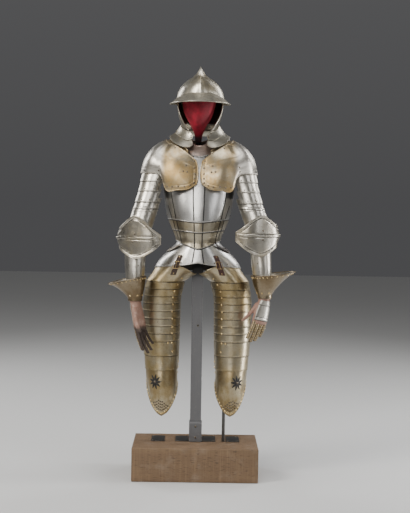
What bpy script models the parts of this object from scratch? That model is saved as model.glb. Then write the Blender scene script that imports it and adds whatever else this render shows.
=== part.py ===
"""Suit of plate armour on its display stand.

A burgonet with hinged cheeks, gorget, cuirass, pauldrons, jointed arms, gauntlets and long
tassets that end in knee cops hang on a steel post over an oak block. Every plate is a bent
sheet of its own. Metres, +Z up, the wearer's left at +X, the front at -Y, and the origin in
the middle of the block's underside. Each elbow turns on a rivet line between its two cannons.
"""
import bisect
import math
from collections import namedtuple

import bmesh
import bpy
from mathutils import Matrix, Vector

# Sheet metal and how it laps
WALL = 0.0018
STEP = 0.003
LAP = 0.008
STEP_DROP = 0.002
SEAT_GAP = 0.0003

# Stand
BLOCK_SIZE = (0.548, 0.32, 0.147)
BLOCK_BACK = 0.01
INLAY_SIZE = (0.058, 0.11, 0.003)
INLAY_PLACES = (-0.166, -0.0595, 0.0595, 0.166)
INLAY_BACK = 0.055
POST_SIZE = (0.049, 0.030)
POST_TOP = 1.425
POST_BACK = 0.012
FOOT_WALL = 0.0035
FOOT_TOP = 0.238
YOKE_BAR = (0.022, 0.030)
YOKE_REACH = 0.148
PEG_SIZE = (0.022, 0.022)
PEG_PLACE = 0.135
PEG_BACK = 0.0125
NECK_ROD_FOOT = 1.405
PEG_TOP = 1.4722
YOKE_STEP = 0.004
BAR_GAP_FRONT = 0.0012
BAR_GAP_BACK = 0.0030
HEAD_CORE = 1.60
LEG_ROD_ROUTE = (
    (0.116, 0.012, 0.147),
    (0.116, 0.010, 0.290),
    (0.116, -0.030, 0.325),
    (0.116, -0.0610, 0.345),
)
BREAST_BAR_TOP = 1.370
NECK_ROD_RADIUS = 0.011
LEG_ROD_RADIUS = 0.006
HEAD_CENTRE = Vector((-0.006, 0.004, 0.0))

# Arms
SHOULDER = Vector((0.176, -0.015, 1.345))
ELBOW = Vector((0.270, -0.070, 1.057))
PIVOT_Z = 1.039
UPPER_RIVET_Z = 1.082
WRIST = Vector((0.276, -0.105, 0.795))
ELBOW_TURN = math.radians(35)
RIVET_RADIUS = 0.004
ARM_LIFT = {1: 0.009, -1: -0.009}
LIFT_START = 1.200
LIFT_FULL = 1.100
HAND_DOWN = Vector((-0.20, -0.08, -0.975)).normalized()
CUFF_TILT = {1: 0.16, -1: -0.32}
CUFF_REACH = {1: 1.08, -1: 0.62}
ARM_LAME_REACH = 105.0
ARM_LAME_FRONTS = [-138.0, -126.0, -114.0]
ARM_LAME_TURN = -96.0
ARM_LAMES = ((1.343, 1.294), (1.302, 1.252), (1.260, 1.205))
UPPER_CANNON = ((1.222, -0.0034), (1.203, -0.0029), (1.160, -0.001), (1.110, 0.0), (1.068, 0.0))
LOWER_CANNON = ((1.050, 0.0), (0.980, 0.0), (0.920, 0.0), (0.870, 0.0), (0.830, 0.0), (0.795, 0.0))
RIVET_STATIONS = {1.0: 4.0, -1.0: 9.72}
PIN_GAPS = {"lower": 0.0011, "upper": 0.0019}
HAND_GAP = 0.001
HAND_PLATE_REACH = 62.0
HAND_PLATE_ROWS = (0.014, 0.046, 0.088)
HAND_LENGTH = {1: 1.20, -1: 1.40}
ARM_SWING = {1: 0.015, -1: -0.007}
SWING_START = 0.970
BACK_OF_HAND = {1: math.radians(35), -1: math.radians(122)}
SIDES = {"left": 1, "right": -1}

Finish = namedtuple("Finish", "colour roughness metallic")
FINISHES = {
    "steel": Finish((0.62, 0.59, 0.53), 0.28, 1.0),
    "leather": Finish((0.16, 0.09, 0.06), 0.6, 0.0),
    "glove": Finish((0.36, 0.24, 0.18), 0.75, 0.0),
    "velvet": Finish((0.32, 0.01, 0.02), 0.9, 0.0),
    "oak": Finish((0.20, 0.11, 0.06), 0.65, 0.0),
    "post_paint": Finish((0.20, 0.20, 0.21), 0.5, 0.4),
    "iron": Finish((0.12, 0.12, 0.12), 0.5, 0.8),
}

# Outlines of the body plates: half width, front and back depth at each height
Section = namedtuple("Section", "z width front back")
TORSO = (
    Section(0.880, 0.195, 0.140, 0.155),
    Section(0.925, 0.187, 0.146, 0.150),
    Section(0.960, 0.166, 0.146, 0.138),
    Section(1.000, 0.128, 0.142, 0.116),
    Section(1.035, 0.099, 0.139, 0.102),
    Section(1.080, 0.112, 0.146, 0.106),
    Section(1.130, 0.133, 0.148, 0.113),
    Section(1.200, 0.148, 0.142, 0.121),
    Section(1.280, 0.156, 0.128, 0.126),
    Section(1.360, 0.150, 0.110, 0.122),
    Section(1.410, 0.132, 0.096, 0.108),
)
HEAD = (
    Section(1.495, 0.074, 0.0865, 0.080),
    Section(1.520, 0.078, 0.0940, 0.088),
    Section(1.545, 0.083, 0.1030, 0.098),
    Section(1.575, 0.092, 0.1080, 0.108),
    Section(1.610, 0.0985, 0.1140, 0.116),
    Section(1.640, 0.1005, 0.1190, 0.120),
    Section(1.675, 0.0995, 0.1205, 0.1205),
)
HEAD_FORM = (
    Section(1.470, 0.000, 0.000, 0.000),
    Section(1.472, 0.030, 0.030, 0.032),
    Section(1.500, 0.044, 0.052, 0.046),
    Section(1.540, 0.060, 0.076, 0.058),
    Section(1.580, 0.070, 0.084, 0.070),
    Section(1.620, 0.074, 0.087, 0.080),
    Section(1.660, 0.075, 0.086, 0.084),
    Section(1.700, 0.066, 0.076, 0.078),
    Section(1.728, 0.048, 0.060, 0.062),
    Section(1.743, 0.026, 0.034, 0.036),
    Section(1.7493, 0.000, 0.000, 0.000),
)

# Helmet skull: half width and half length of each level ring; pinch draws it to a keel
Ring = namedtuple("Ring", "z width length pinch")
SKULL = (
    Ring(1.661, 0.1040, 0.1260, 1.05),
    Ring(1.667, 0.1025, 0.1245, 1.05),
    Ring(1.686, 0.0975, 0.1220, 1.08),
    Ring(1.704, 0.0885, 0.1180, 1.15),
    Ring(1.721, 0.0750, 0.1120, 1.30),
    Ring(1.737, 0.0570, 0.1050, 1.60),
    Ring(1.748, 0.0385, 0.0990, 1.90),
    Ring(1.762, 0.0215, 0.0900, 1.90),
    Ring(1.780, 0.0095, 0.0700, 1.60),
    Ring(1.798, 0.0000, 0.0200, 1.00),
)
SKULL_INSIDE_TOP = 1.750
BRIM_TOP = 1.661
BRIM_END = 106.0
BRIM_FADE = 26.0
BRIM_REACH = 0.030
BRIM_PEAK = 0.044
BRIM_DROP = 0.034
NAPE_REACH = 0.006
NAPE_DROP = 0.024

# The collar that flares from the cheeks to the shoulders, level 0 at its top
Collar = namedtuple("Collar", "level width front back side_z")
COLLAR = (
    Collar(0.0, 0.0832, 0.0885, 0.0990, 1.547),
    Collar(0.4, 0.0960, 0.0985, 0.1090, 1.526),
    Collar(0.7, 0.1120, 0.1100, 0.1210, 1.510),
    Collar(1.0, 0.1310, 0.1230, 0.1360, 1.496),
)
COLLAR_SLOPE = 0.5
COLLAR_SLOPE_BACK = 0.06
NECK_UPPER_ROWS = ((0.0, 0.0006), (0.27, 0.0), (0.55, 0.0))
NECK_UPPER_START = 16.0
NECK_LOWER_START = 11.0
NECK_LOWER_ROWS = ((0.48, -0.0055), (0.74, -0.0034), (1.0, 0.0))

# Belly edges of the cuirass at the middle and at the sides, from the breast to the waist
WAIST_TUCK = 0.0062
BELLY_LINES = ((1.119, 1.134), (1.076, 1.087), (1.006, 1.040))
TORSO_INSIDE = Vector((0.0, 0.0, 1.15))
HEAD_INSIDE = Vector((0.0, 0.0, 1.56))
GORGET_INSIDE = Vector((0.0, 0.0, 1.42))
HIP_INSIDE = Vector((0.13, 0.0, 0.90))
SHOULDER_INSIDE = Vector((0.14, 0.0, 1.36))
LEG_INSIDE = Vector((0.15, 0.0, 0.0))
KNEE_INSIDE = Vector((0.15, 0.0, 0.40))
CUFF_INSIDE_Z = 0.84
PALM_INSIDE = 0.05

# Pauldron stations from its front edge over the shoulder to its back edge
Station = namedtuple("Station", "at top_x top_y top_z mid_x mid_y mid_z low_x low_y low_z")
PAULDRON = (
    Station(0.0, 0.018, -0.118, 1.398, 0.0045, -0.136, 1.338, 0.011, -0.1430, 1.286),
    Station(1.0, 0.050, -0.102, 1.432, 0.050, -0.141, 1.348, 0.050, -0.1490, 1.262),
    Station(2.0, 0.090, -0.066, 1.463, 0.098, -0.137, 1.367, 0.098, -0.1440, 1.257),
    Station(3.0, 0.106, -0.040, 1.475, 0.140, -0.122, 1.380, 0.142, -0.1270, 1.257),
    Station(3.5, 0.113, -0.022, 1.480, 0.164, -0.112, 1.392, 0.166, -0.1110, 1.320),
    Station(4.4, 0.118, 0.002, 1.485, 0.203, -0.077, 1.421, 0.229, -0.0750, 1.331),
    Station(5.4, 0.119, 0.020, 1.487, 0.215, 0.002, 1.434, 0.2560, -0.0020, 1.331),
    Station(6.4, 0.117, 0.038, 1.485, 0.198, 0.078, 1.421, 0.225, 0.0740, 1.331),
    Station(7.3, 0.112, 0.056, 1.480, 0.158, 0.114, 1.392, 0.164, 0.1150, 1.318),
    Station(8.2, 0.096, 0.076, 1.468, 0.104, 0.137, 1.368, 0.108, 0.1420, 1.272),
    Station(9.2, 0.060, 0.098, 1.442, 0.042, 0.141, 1.360, 0.046, 0.1450, 1.290),
)
SHOULDER_LAME_END = 0.16
SHOULDER_LAME_FIRST = 0.5
SHOULDER_TUCK = 0.003
PAULDRON_START = 0.11

# Upper-arm radius and forearm radius at each height
Girth = namedtuple("Girth", "z radius")
UPPER_ARM = (
    Girth(1.068, 0.0545),
    Girth(1.195, 0.0570),
    Girth(1.270, 0.0615),
    Girth(1.305, 0.0670),
    Girth(1.345, 0.0725),
)
FOREARM = (
    Girth(0.795, 0.0285),
    Girth(0.830, 0.0315),
    Girth(0.870, 0.0372),
    Girth(0.920, 0.0427),
    Girth(0.980, 0.0455),
    Girth(1.050, 0.0490),
)

# Couter stations round the elbow: b runs outwards, a forwards; edge draws its rims in
Bend = namedtuple("Bend", "at b a low top edge")
COUTER = (
    Bend(0.0, -0.134, 0.000, 1.034, 1.072, 1.00),
    Bend(1.0, -0.114, 0.034, 1.003, 1.099, 0.98),
    Bend(2.0, -0.080, 0.055, 0.980, 1.133, 0.96),
    Bend(3.0, -0.040, 0.064, 0.972, 1.150, 0.96),
    Bend(4.0, 0.000, 0.066, 0.986, 1.131, 0.95),
    Bend(5.0, 0.040, 0.062, 1.006, 1.107, 0.92),
    Bend(6.0, 0.072, 0.044, 1.018, 1.102, 0.84),
    Bend(7.0, 0.090, 0.010, 1.018, 1.100, 0.76),
    Bend(8.0, 0.087, -0.032, 1.014, 1.100, 0.82),
    Bend(9.0, 0.056, -0.066, 1.008, 1.100, 0.93),
    Bend(10.0, -0.024, -0.079, 1.016, 1.094, 0.98),
)

# Gauntlet cuff: radius outwards, forwards and inwards at each height
CuffRing = namedtuple("CuffRing", "z outer front inner")
CUFF = (
    CuffRing(0.788, 0.0302, 0.0302, 0.0302),
    CuffRing(0.800, 0.0318, 0.0316, 0.0315),
    CuffRing(0.815, 0.0410, 0.0380, 0.0350),
    CuffRing(0.845, 0.0740, 0.0520, 0.0420),
    CuffRing(0.868, 0.1060, 0.0640, 0.0455),
    CuffRing(0.886, 0.1400, 0.0740, 0.0475),
)

# Palm of the glove along the hand, and its fingers across the knuckles
Palm = namedtuple("Palm", "along width thickness")
PALM = (
    Palm(-0.025, 0.000, 0.000),
    Palm(-0.023, 0.015, 0.015),
    Palm(0.000, 0.0254, 0.0244),
    Palm(0.012, 0.0258, 0.0215),
    Palm(0.040, 0.0340, 0.0185),
    Palm(0.080, 0.038, 0.0160),
    Palm(0.098, 0.034, 0.0130),
    Palm(0.104, 0.000, 0.000),
)
Finger = namedtuple("Finger", "name across start length radius spread curl sink")
FINGERS = (
    Finger("little", -0.0265, 0.082, 0.068, 0.0078, -0.10, 0.30, 0.0),
    Finger("ring", -0.0095, 0.086, 0.082, 0.0086, -0.03, 0.26, 0.0),
    Finger("middle", 0.0085, 0.086, 0.088, 0.0090, 0.03, 0.22, 0.0),
    Finger("index", 0.0265, 0.082, 0.080, 0.0088, 0.09, 0.18, 0.0),
    Finger("thumb", 0.0230, 0.025, 0.088, 0.0105, 0.42, 0.34, 0.008),
)

# Thigh and knee: centre line, half width and front and back depth at each height
Leg = namedtuple("Leg", "z centre width front back")
LEG = (
    Leg(0.272, 0.150, 0.058, 0.056, 0.040),
    Leg(0.315, 0.149, 0.063, 0.074, 0.048),
    Leg(0.355, 0.1485, 0.0655, 0.086, 0.054),
    Leg(0.400, 0.150, 0.0675, 0.096, 0.058),
    Leg(0.440, 0.1525, 0.0705, 0.094, 0.064),
    Leg(0.480, 0.154, 0.0735, 0.088, 0.068),
    Leg(0.540, 0.1555, 0.0775, 0.085, 0.072),
    Leg(0.620, 0.158, 0.0820, 0.086, 0.076),
    Leg(0.700, 0.158, 0.0830, 0.090, 0.078),
    Leg(0.780, 0.156, 0.0830, 0.096, 0.080),
    Leg(0.825, 0.149, 0.0840, 0.101, 0.082),
    Leg(0.872, 0.138, 0.0860, 0.108, 0.084),
)
LEG_INNER_EDGE = -96.0
LEG_OUTER_EDGE = 118.0
LAME_HEIGHTS = (0.862, 0.830, 0.798, 0.766, 0.733, 0.700, 0.667, 0.634, 0.600, 0.536, 0.474)
LAME_GROUPS = ((0, 3), (3, 6), (6, 8), (8, 10))

# Lower edges and upper edges of plates, by the angle from the middle of the front or back
Edge = namedtuple("Edge", "degrees z")
POLEYN_EDGE = (
    Edge(0.0, 0.272),
    Edge(20.0, 0.286),
    Edge(39.0, 0.313),
    Edge(64.0, 0.357),
    Edge(90.0, 0.400),
    Edge(118.0, 0.440),
)
BREAST_TOP = (
    Edge(0.0, 1.400),
    Edge(22.0, 1.410),
    Edge(40.0, 1.410),
    Edge(55.0, 1.370),
    Edge(70.0, 1.305),
    Edge(82.0, 1.262),
    Edge(90.0, 1.250),
)
FAULD_EDGE = (
    Edge(0.0, 0.948),
    Edge(20.0, 0.938),
    Edge(45.0, 0.930),
    Edge(70.0, 0.925),
    Edge(90.0, 0.920),
)
CULET_EDGE = (
    Edge(0.0, 0.895),
    Edge(45.0, 0.903),
    Edge(90.0, 0.920),
)

# Upper edge of the hip plate, hung below the fauld's lower edge
Brow = namedtuple("Brow", "angle torso_angle drop out")
HIP_BROW = (
    Brow(-96.0, 2.0, 0.049, -0.043),
    Brow(-70.0, 7.0, 0.042, -0.020),
    Brow(-45.0, 16.0, 0.018, -0.004),
    Brow(-20.0, 28.0, 0.0026, 0.0),
    Brow(15.0, 42.0, 0.0026, 0.0),
    Brow(50.0, 55.0, 0.0026, 0.0),
    Brow(85.0, 67.0, 0.0026, 0.0),
    Brow(118.0, 80.0, 0.0026, 0.0),
)
BROW_GAP = 0.0026
HIP_SEAM = 0.0006
STRAP_ANGLE = 30.0
STRAP_HALF_WIDTH = 0.009
STRAP_WALL = 0.0026
STRAP_TOP = 0.985
STRAP_SEAT = 0.0008
STRAP_ON_HIP = 0.6
STRAP_ENDS = (0.06, 0.94)
STRAP_SLOPE_SPAN = 0.05

# Front edge of the cheeks, by height
CHEEK_EDGE = (
    Edge(22.0, 1.495),
    Edge(42.0, 1.520),
    Edge(58.0, 1.550),
    Edge(69.0, 1.585),
    Edge(75.0, 1.620),
    Edge(78.0, 1.655),
    Edge(79.0, 1.672),
)
CHEEK_TOP = 1.666
CHEEK_SEAM = 0.0006
SEAM_ANGLE = 179.7
SIDE_SEAM = 89.8
GORGET_SEAM = 89.6

# The gorget round the neck, share 0 at its top
Gorget = namedtuple("Gorget", "share width front back side_z dip")
GORGET = (
    Gorget(0.0, 0.070, 0.074, 0.078, 1.505, 0.056),
    Gorget(0.6, 0.083, 0.088, 0.093, 1.476, 0.055),
    Gorget(1.0, 0.104, 0.1000, 0.1100, 1.452, 0.066),
)


def at(table, key):
    """The table's row at a key between its rows, on smooth curves through them."""
    keys = [row[0] for row in table]
    key = min(max(key, keys[0]), keys[-1])
    low = min(bisect.bisect_right(keys, key) - 1, len(keys) - 2)
    span = keys[low + 1] - keys[low]
    t = (key - keys[low]) / span
    values = []
    for column in zip(*table):
        slopes = []
        for i in (low, low + 1):
            before, after = max(i - 1, 0), min(i + 1, len(keys) - 1)
            slopes.append((column[after] - column[before]) / (keys[after] - keys[before]) * span)
        rise = column[low + 1] - column[low]
        bend_in, bend_out = slopes[0] - rise, rise - slopes[1]
        values.append(column[low] + t * rise + t * (1 - t) * ((1 - t) * bend_in + t * bend_out))
    return type(table[0])(*values)


def spread(first, last, count):
    """Evenly spaced values from first to last, count gaps between them."""
    return [first + (last - first) * i / count for i in range(count + 1)]


def oval(width, front, back, degrees, out=0.0):
    """Point on a level oval, angle 0 at the front and 90 on the wearer's left."""
    turn = math.radians(degrees)
    depth = front if math.cos(turn) > 0 else back
    return (width + out) * math.sin(turn), -(depth + out) * math.cos(turn)


def edge_height(table, degrees):
    """Height of a plate's edge at an angle either way from its middle."""
    return at(table, abs(degrees)).z


def hung(side, point):
    """A point of the arm, raised or lowered with its elbow and swung to its own side below it."""
    share = min(max((LIFT_START - point.z) / (LIFT_START - LIFT_FULL), 0.0), 1.0)
    swing = min(max((SWING_START - point.z) / (SWING_START - WRIST.z), 0.0), 1.0) ** 1.5
    return point + Vector((ARM_SWING[side] * swing, 0.0, ARM_LIFT[side] * share))


def lapped(top, bottoms, first_out=-STEP):
    """(height, out) rows of a stack of lames, each lapping outside the one below it."""
    rows = [(top, first_out)]
    for i, bottom in enumerate(bottoms):
        rows.append((bottom, 0.0))
        if i < len(bottoms) - 1:
            rows.append((bottom - STEP_DROP, -STEP))
    return rows


def torso(degrees, row):
    """Point of the cuirass at an angle and a (height, out) row."""
    z, out = row
    section = at(TORSO, z)
    return Vector((*oval(section.width, section.front, section.back, degrees, out), z))


def sloped_edge(degrees, middle, side):
    """Height of a belly edge that dips to a point at the front."""
    return middle + (side - middle) * abs(math.sin(math.radians(degrees))) ** 1.1


def head(degrees, row):
    """Point of the helmet's cheeks and nape at an angle and a (height, out) row."""
    z, out = row
    section = at(HEAD, z)
    return Vector((*oval(section.width, section.front, section.back, degrees, out), z))


def collar(degrees, row):
    """Point of the sloping collar at an angle and a (level, out) row."""
    level, out = row
    ring = at(COLLAR, level)
    x, y = oval(ring.width, ring.front, ring.back, degrees, out)
    return Vector((x, y, ring.side_z + collar_rise(y)))


def collar_rise(y):
    """How far the collar's edges rise above their side height, down at the front."""
    return y * (COLLAR_SLOPE if y < 0 else COLLAR_SLOPE_BACK)


def skull(degrees, z, inwards=0.0):
    """Point of the helmet's skull at an angle and a height."""
    ring = at(SKULL, z)
    turn = math.radians(degrees)
    width, length = max(ring.width - inwards, 0.0), ring.length - inwards
    side = math.copysign(abs(math.sin(turn)) ** ring.pinch, math.sin(turn))
    return Vector((width * side, -length * math.cos(turn), z))


def pauldron(station, down):
    """Point of the pauldron: station along it, down from 0 at the neck to 1 at its lower edge."""
    row = at(PAULDRON, station)
    top = Vector((row.top_x, row.top_y, row.top_z))
    middle = Vector((row.mid_x, row.mid_y, row.mid_z))
    low = Vector((row.low_x, row.low_y, row.low_z))
    bulge = middle - (top + low) / 2
    return top.lerp(low, down) + bulge * 4 * down * (1 - down)


def moved_out(surface, u, v, distance, span=0.02):
    """A surface's point moved along its normal, away from the arm's own centre line."""
    across = surface(u + span, v) - surface(u - span, v)
    down = surface(u, v + span) - surface(u, v - span)
    return surface(u, v) + across.cross(down).normalized() * -distance


def arm_centre(z):
    """Centre line of the upper arm at a height."""
    return SHOULDER.lerp(ELBOW, (SHOULDER.z - z) / (SHOULDER.z - ELBOW.z))


def forearm_centre(z):
    """Centre line of the forearm at a height."""
    pivot = Vector((ELBOW.x, ELBOW.y, PIVOT_Z))
    return pivot.lerp(WRIST, (PIVOT_Z - z) / (PIVOT_Z - WRIST.z))


def tube(centre, girths):
    """Surface of a limb tube: angle 0 outwards and -90 forwards, then a (height, out) row."""
    def surface(degrees, row):
        z, out = row
        radius = at(girths, z).radius + out
        turn = math.radians(degrees)
        return centre(z) + Vector((radius * math.cos(turn), radius * math.sin(turn), 0.0))
    return surface


upper_arm = tube(arm_centre, UPPER_ARM)
forearm = tube(forearm_centre, FOREARM)


def elbow_axes():
    """Forward axis of the elbow's rivets and the outward direction square to it."""
    forward = Vector((math.sin(ELBOW_TURN), -math.cos(ELBOW_TURN), 0.0))
    outward = Vector((math.cos(ELBOW_TURN), math.sin(ELBOW_TURN), 0.0))
    return forward, outward


def couter(station, share):
    """Point of the couter: station round the elbow, share from its lower edge to its upper."""
    bend = at(COUTER, station)
    forward, outward = elbow_axes()
    z = bend.low + (bend.top - bend.low) * share
    rise = (z - ELBOW.z) / (bend.top - ELBOW.z if z > ELBOW.z else ELBOW.z - bend.low)
    pull = 1 - (1 - bend.edge) * abs(rise) ** 1.25
    flat = (outward * bend.b + forward * bend.a) * pull
    return Vector((ELBOW.x, ELBOW.y, z)) + flat


def cuff(degrees, row, side):
    """Point of the gauntlet's cuff, its outer rim tilted and drawn out for its side."""
    z, out = row
    ring = at(CUFF, z)
    turn = math.radians(degrees)
    outwards = max(math.cos(turn), 0.0) ** 1.4 * CUFF_REACH[side]
    inwards = max(-math.cos(turn), 0.0) ** 1.4
    radius = ring.front + (ring.outer - ring.front) * outwards + (ring.inner - ring.front) * inwards
    lift = CUFF_TILT[side] * math.cos(turn) * (radius - CUFF[0].front)
    flat = Vector((math.cos(turn), math.sin(turn), 0.0)) * (radius + out)
    return forearm_centre(z) + flat + Vector((0.0, 0.0, lift))


def hand_frame(side):
    """Down the hand, across it to the thumb, and out of its back."""
    turn = BACK_OF_HAND[side]
    back = Vector((math.sin(turn), -math.cos(turn), 0.0))
    back = (back - HAND_DOWN * back.dot(HAND_DOWN)).normalized()
    return HAND_DOWN, HAND_DOWN.cross(back), back


def palm(side, degrees, along, out=0.0):
    """Point of the glove's palm, angle 0 on the back of the hand."""
    down, across, back = hand_frame(side)
    section = at(PALM, along)
    turn = math.radians(degrees)
    width = (section.width + out) * math.sin(turn)
    depth = (section.thickness + out) * math.cos(turn)
    reach = along * (HAND_LENGTH[side] if along > 0 else 1.0)
    return WRIST + down * reach + across * width + back * depth


def finger(side, row):
    """Surface of one finger: a tapered tube that curls towards the palm."""
    down, across, back = hand_frame(side)
    stretch = HAND_LENGTH[side]
    root = WRIST + down * row.start * stretch + across * row.across - back * row.sink

    def surface(degrees, share):
        length = row.length * share * stretch
        lean = row.curl * share
        centre = root + (down + across * row.spread - back * lean).normalized() * length
        radius = row.radius * (1 - 0.25 * share) * (0.0 if share in (0.0, 1.0) else 1.0)
        turn = math.radians(degrees)
        side_way = down.cross(back).normalized()
        return centre + side_way * radius * math.cos(turn) + back * radius * math.sin(turn)
    return surface


def leg(degrees, row):
    """Point of the thigh or knee plates, angle 0 at the front and 90 outwards."""
    z, out = row
    section = at(LEG, z)
    x, y = oval(section.width, section.front, section.back, degrees, out)
    return Vector((section.centre + x, y, z))


def hip(degrees, share):
    """Point of the hip plate: share 0 at its lower edge, 1 at the brow just below the fauld."""
    brow = at(HIP_BROW, degrees)
    drop = max(brow.drop, BROW_GAP)
    low = leg(degrees, (LAME_HEIGHTS[0], 0.0))
    height = edge_height(FAULD_EDGE, brow.torso_angle) - drop
    return low.lerp(torso(brow.torso_angle, (height, brow.out)), share)


def gorget(degrees, share):
    """Point of the gorget at an angle, from its neck at share 0 to its skirt at 1."""
    ring = at(GORGET, share)
    x, y = oval(ring.width, ring.front, ring.back, degrees)
    return Vector((x, y, ring.side_z - ring.dip * math.cos(math.radians(degrees)) ** 2))


def finish(name):
    """The named material, made once."""
    found = bpy.data.materials.get(name)
    if found:
        return found
    look = FINISHES[name]
    made = bpy.data.materials.new(name)
    made.use_nodes = True
    shader = made.node_tree.nodes["Principled BSDF"]
    shader.inputs["Base Color"].default_value = (*look.colour, 1.0)
    shader.inputs["Roughness"].default_value = look.roughness
    shader.inputs["Metallic"].default_value = look.metallic
    return made


def collection(name):
    """A collection of the scene by name."""
    found = bpy.data.collections.get(name)
    if not found:
        found = bpy.data.collections.new(name)
        bpy.context.scene.collection.children.link(found)
    return found


def grid(surface, across, along):
    """An open sheet: a flat grid whose points are moved onto a surface, seams welded."""
    work = bmesh.new()
    columns, rows = len(across) - 1, len(along) - 1
    bmesh.ops.create_grid(work, x_segments=columns, y_segments=rows, size=0.5)
    for vert in work.verts:
        u = across[round((vert.co.x + 0.5) * columns)]
        v = along[round((vert.co.y + 0.5) * rows)]
        vert.co = surface(u, v)
    bmesh.ops.remove_doubles(work, verts=work.verts, dist=1e-5)
    return work


def turn_out(work, core):
    """Turns a sheet's faces so that most of them look away from the core point."""
    facing = sum((f.calc_center_median() - core).dot(f.normal) * f.calc_area() for f in work.faces)
    if facing < 0:
        bmesh.ops.reverse_faces(work, faces=work.faces)


def place(work, name, look, side=1, group="suit_of_armour"):
    """Makes an object of a mesh, mirrored to the wearer's right when side is -1."""
    if side < 0:
        bmesh.ops.scale(work, vec=(-1.0, 1.0, 1.0), verts=work.verts)
        bmesh.ops.reverse_faces(work, faces=work.faces)
    mesh = bpy.data.meshes.new(name)
    work.to_mesh(mesh)
    work.free()
    mesh.shade_smooth()
    mesh.set_sharp_from_angle(angle=math.radians(40))
    mesh.materials.append(finish(look))
    made = bpy.data.objects.new(name, mesh)
    collection(group).objects.link(made)
    return made


def plate(name, surface, across, along, core, side=1, look="steel", wall=WALL, grow=-1.0):
    """One sheet-metal plate with its thickness put on by Solidify."""
    work = grid(surface, across, along)
    work.normal_update()
    turn_out(work, core)
    made = place(work, name, look, side)
    thick = made.modifiers.new("wall", "SOLIDIFY")
    thick.thickness = wall
    thick.offset = grow
    return made


def solid(name, surface, across, along, core, side=1, look="steel", group="suit_of_armour"):
    """One closed form whose first and last rows end in poles."""
    work = grid(surface, across, along)
    work.normal_update()
    turn_out(work, core)
    return place(work, name, look, side, group)


def box(name, size, centre, look, bevel=0.0):
    """A block with its edges eased."""
    work = bmesh.new()
    bmesh.ops.create_cube(work, size=1.0)
    bmesh.ops.scale(work, vec=size, verts=work.verts)
    bmesh.ops.translate(work, vec=centre, verts=work.verts)
    made = place(work, name, look)
    if bevel:
        ease = made.modifiers.new("eased", "BEVEL")
        ease.width = bevel
        ease.segments = 1
    return made


def pin(name, start, end, radius, side=1):
    """A short rivet shank that is joined to a plate."""
    work = bmesh.new()
    run = end - start
    bmesh.ops.create_cone(work, cap_ends=True, segments=8, radius1=radius, radius2=radius, depth=run.length)
    turn = run.to_track_quat("Z", "Y").to_matrix().to_4x4()
    bmesh.ops.transform(work, matrix=Matrix.Translation((start + end) / 2) @ turn, verts=work.verts)
    made = place(work, name, "steel", side, "joined_pieces")
    made.hide_render = True
    made.display_type = "WIRE"
    return made


def join(target, *others):
    """Adds other solids to a target with Boolean unions."""
    for other in others:
        union = target.modifiers.new("with_" + other.name, "BOOLEAN")
        union.operation = "UNION"
        union.object = other


def helmet(degrees, row):
    """Point of the helmet's outside: below 0 the brim, at -1 its rim; above 0 a skull height."""
    if row > 0:
        return skull(degrees, row)
    turn = math.radians(degrees)
    share = -row
    root = skull(degrees, BRIM_TOP)
    way = Vector((root.x, root.y, 0.0)).normalized()
    away = abs((degrees + 180.0) % 360.0 - 180.0)
    fade = min(max((BRIM_END - away) / BRIM_FADE, 0.0), 1.0)
    front = max(math.cos(turn), 0.0) ** 2.5
    reach = fade * (BRIM_REACH + BRIM_PEAK * front) + (1 - fade) * NAPE_REACH
    drop = BRIM_DROP * fade + NAPE_DROP * (1 - fade)
    return root + way * reach * share ** 1.6 - Vector((0.0, 0.0, drop * share ** 0.8))


def build_skull():
    """The helmet's skull with its brim: an outer dome with a solid comb, hollow inside."""
    angles = spread(0.0, 360.0, 28)
    brim_rows = [-1.0, -0.7, -0.4, -0.15]
    outside = brim_rows + [row.z for row in SKULL]
    work = grid(helmet, angles, outside)
    heights = [row.z for row in SKULL if row.z < SKULL_INSIDE_TOP] + [SKULL_INSIDE_TOP]

    def inside(degrees, row):
        if row <= 0:
            outer = helmet(degrees, row)
            root = skull(degrees, BRIM_TOP)
            inward = Vector((root.x, root.y, 0.0)).normalized()
            return outer - inward * WALL * 0.75 - Vector((0.0, 0.0, WALL * 0.75))
        point = skull(degrees, row, WALL)
        if row == SKULL_INSIDE_TOP:
            point.x = 0.0
        return point

    inner = grid(inside, angles, brim_rows + heights)
    spare = bpy.data.meshes.new("skull_inside")
    inner.to_mesh(spare)
    inner.free()
    work.from_mesh(spare)
    bpy.data.meshes.remove(spare)
    rim = [edge for edge in work.edges if edge.is_boundary]
    bmesh.ops.bridge_loops(work, edges=rim)
    bmesh.ops.recalc_face_normals(work, faces=work.faces)
    place(work, "skull", "steel")


def build_stand():
    """Oak block with four iron inlays, post in its foot, yoke, head form and leg rod."""
    height = BLOCK_SIZE[2]
    box("base_block", BLOCK_SIZE, (0.0, BLOCK_BACK, height / 2), "oak", 0.003)
    floor = height + SEAT_GAP
    for i, x in enumerate(INLAY_PLACES):
        inlay_z = floor + INLAY_SIZE[2] / 2
        box(f"base_inlay_{i + 1}", INLAY_SIZE, (x, INLAY_BACK, inlay_z), "iron", 0.0006)
    build_foot(floor)
    build_post(floor)
    solid(
        "head_form",
        lambda u, v: Vector((*oval(*at(HEAD_FORM, v)[1:], u), v)) + HEAD_CENTRE,
        spread(0.0, 360.0, 16),
        [row.z for row in HEAD_FORM],
        Vector((HEAD_CENTRE.x, HEAD_CENTRE.y, HEAD_CORE)),
        look="velvet",
    )
    rod = [Vector((x, y, z)) for x, y, z in LEG_ROD_ROUTE]
    rod[0].z = floor
    tube_piece("leg_rod", rod, LEG_ROD_RADIUS, "iron")


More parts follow.
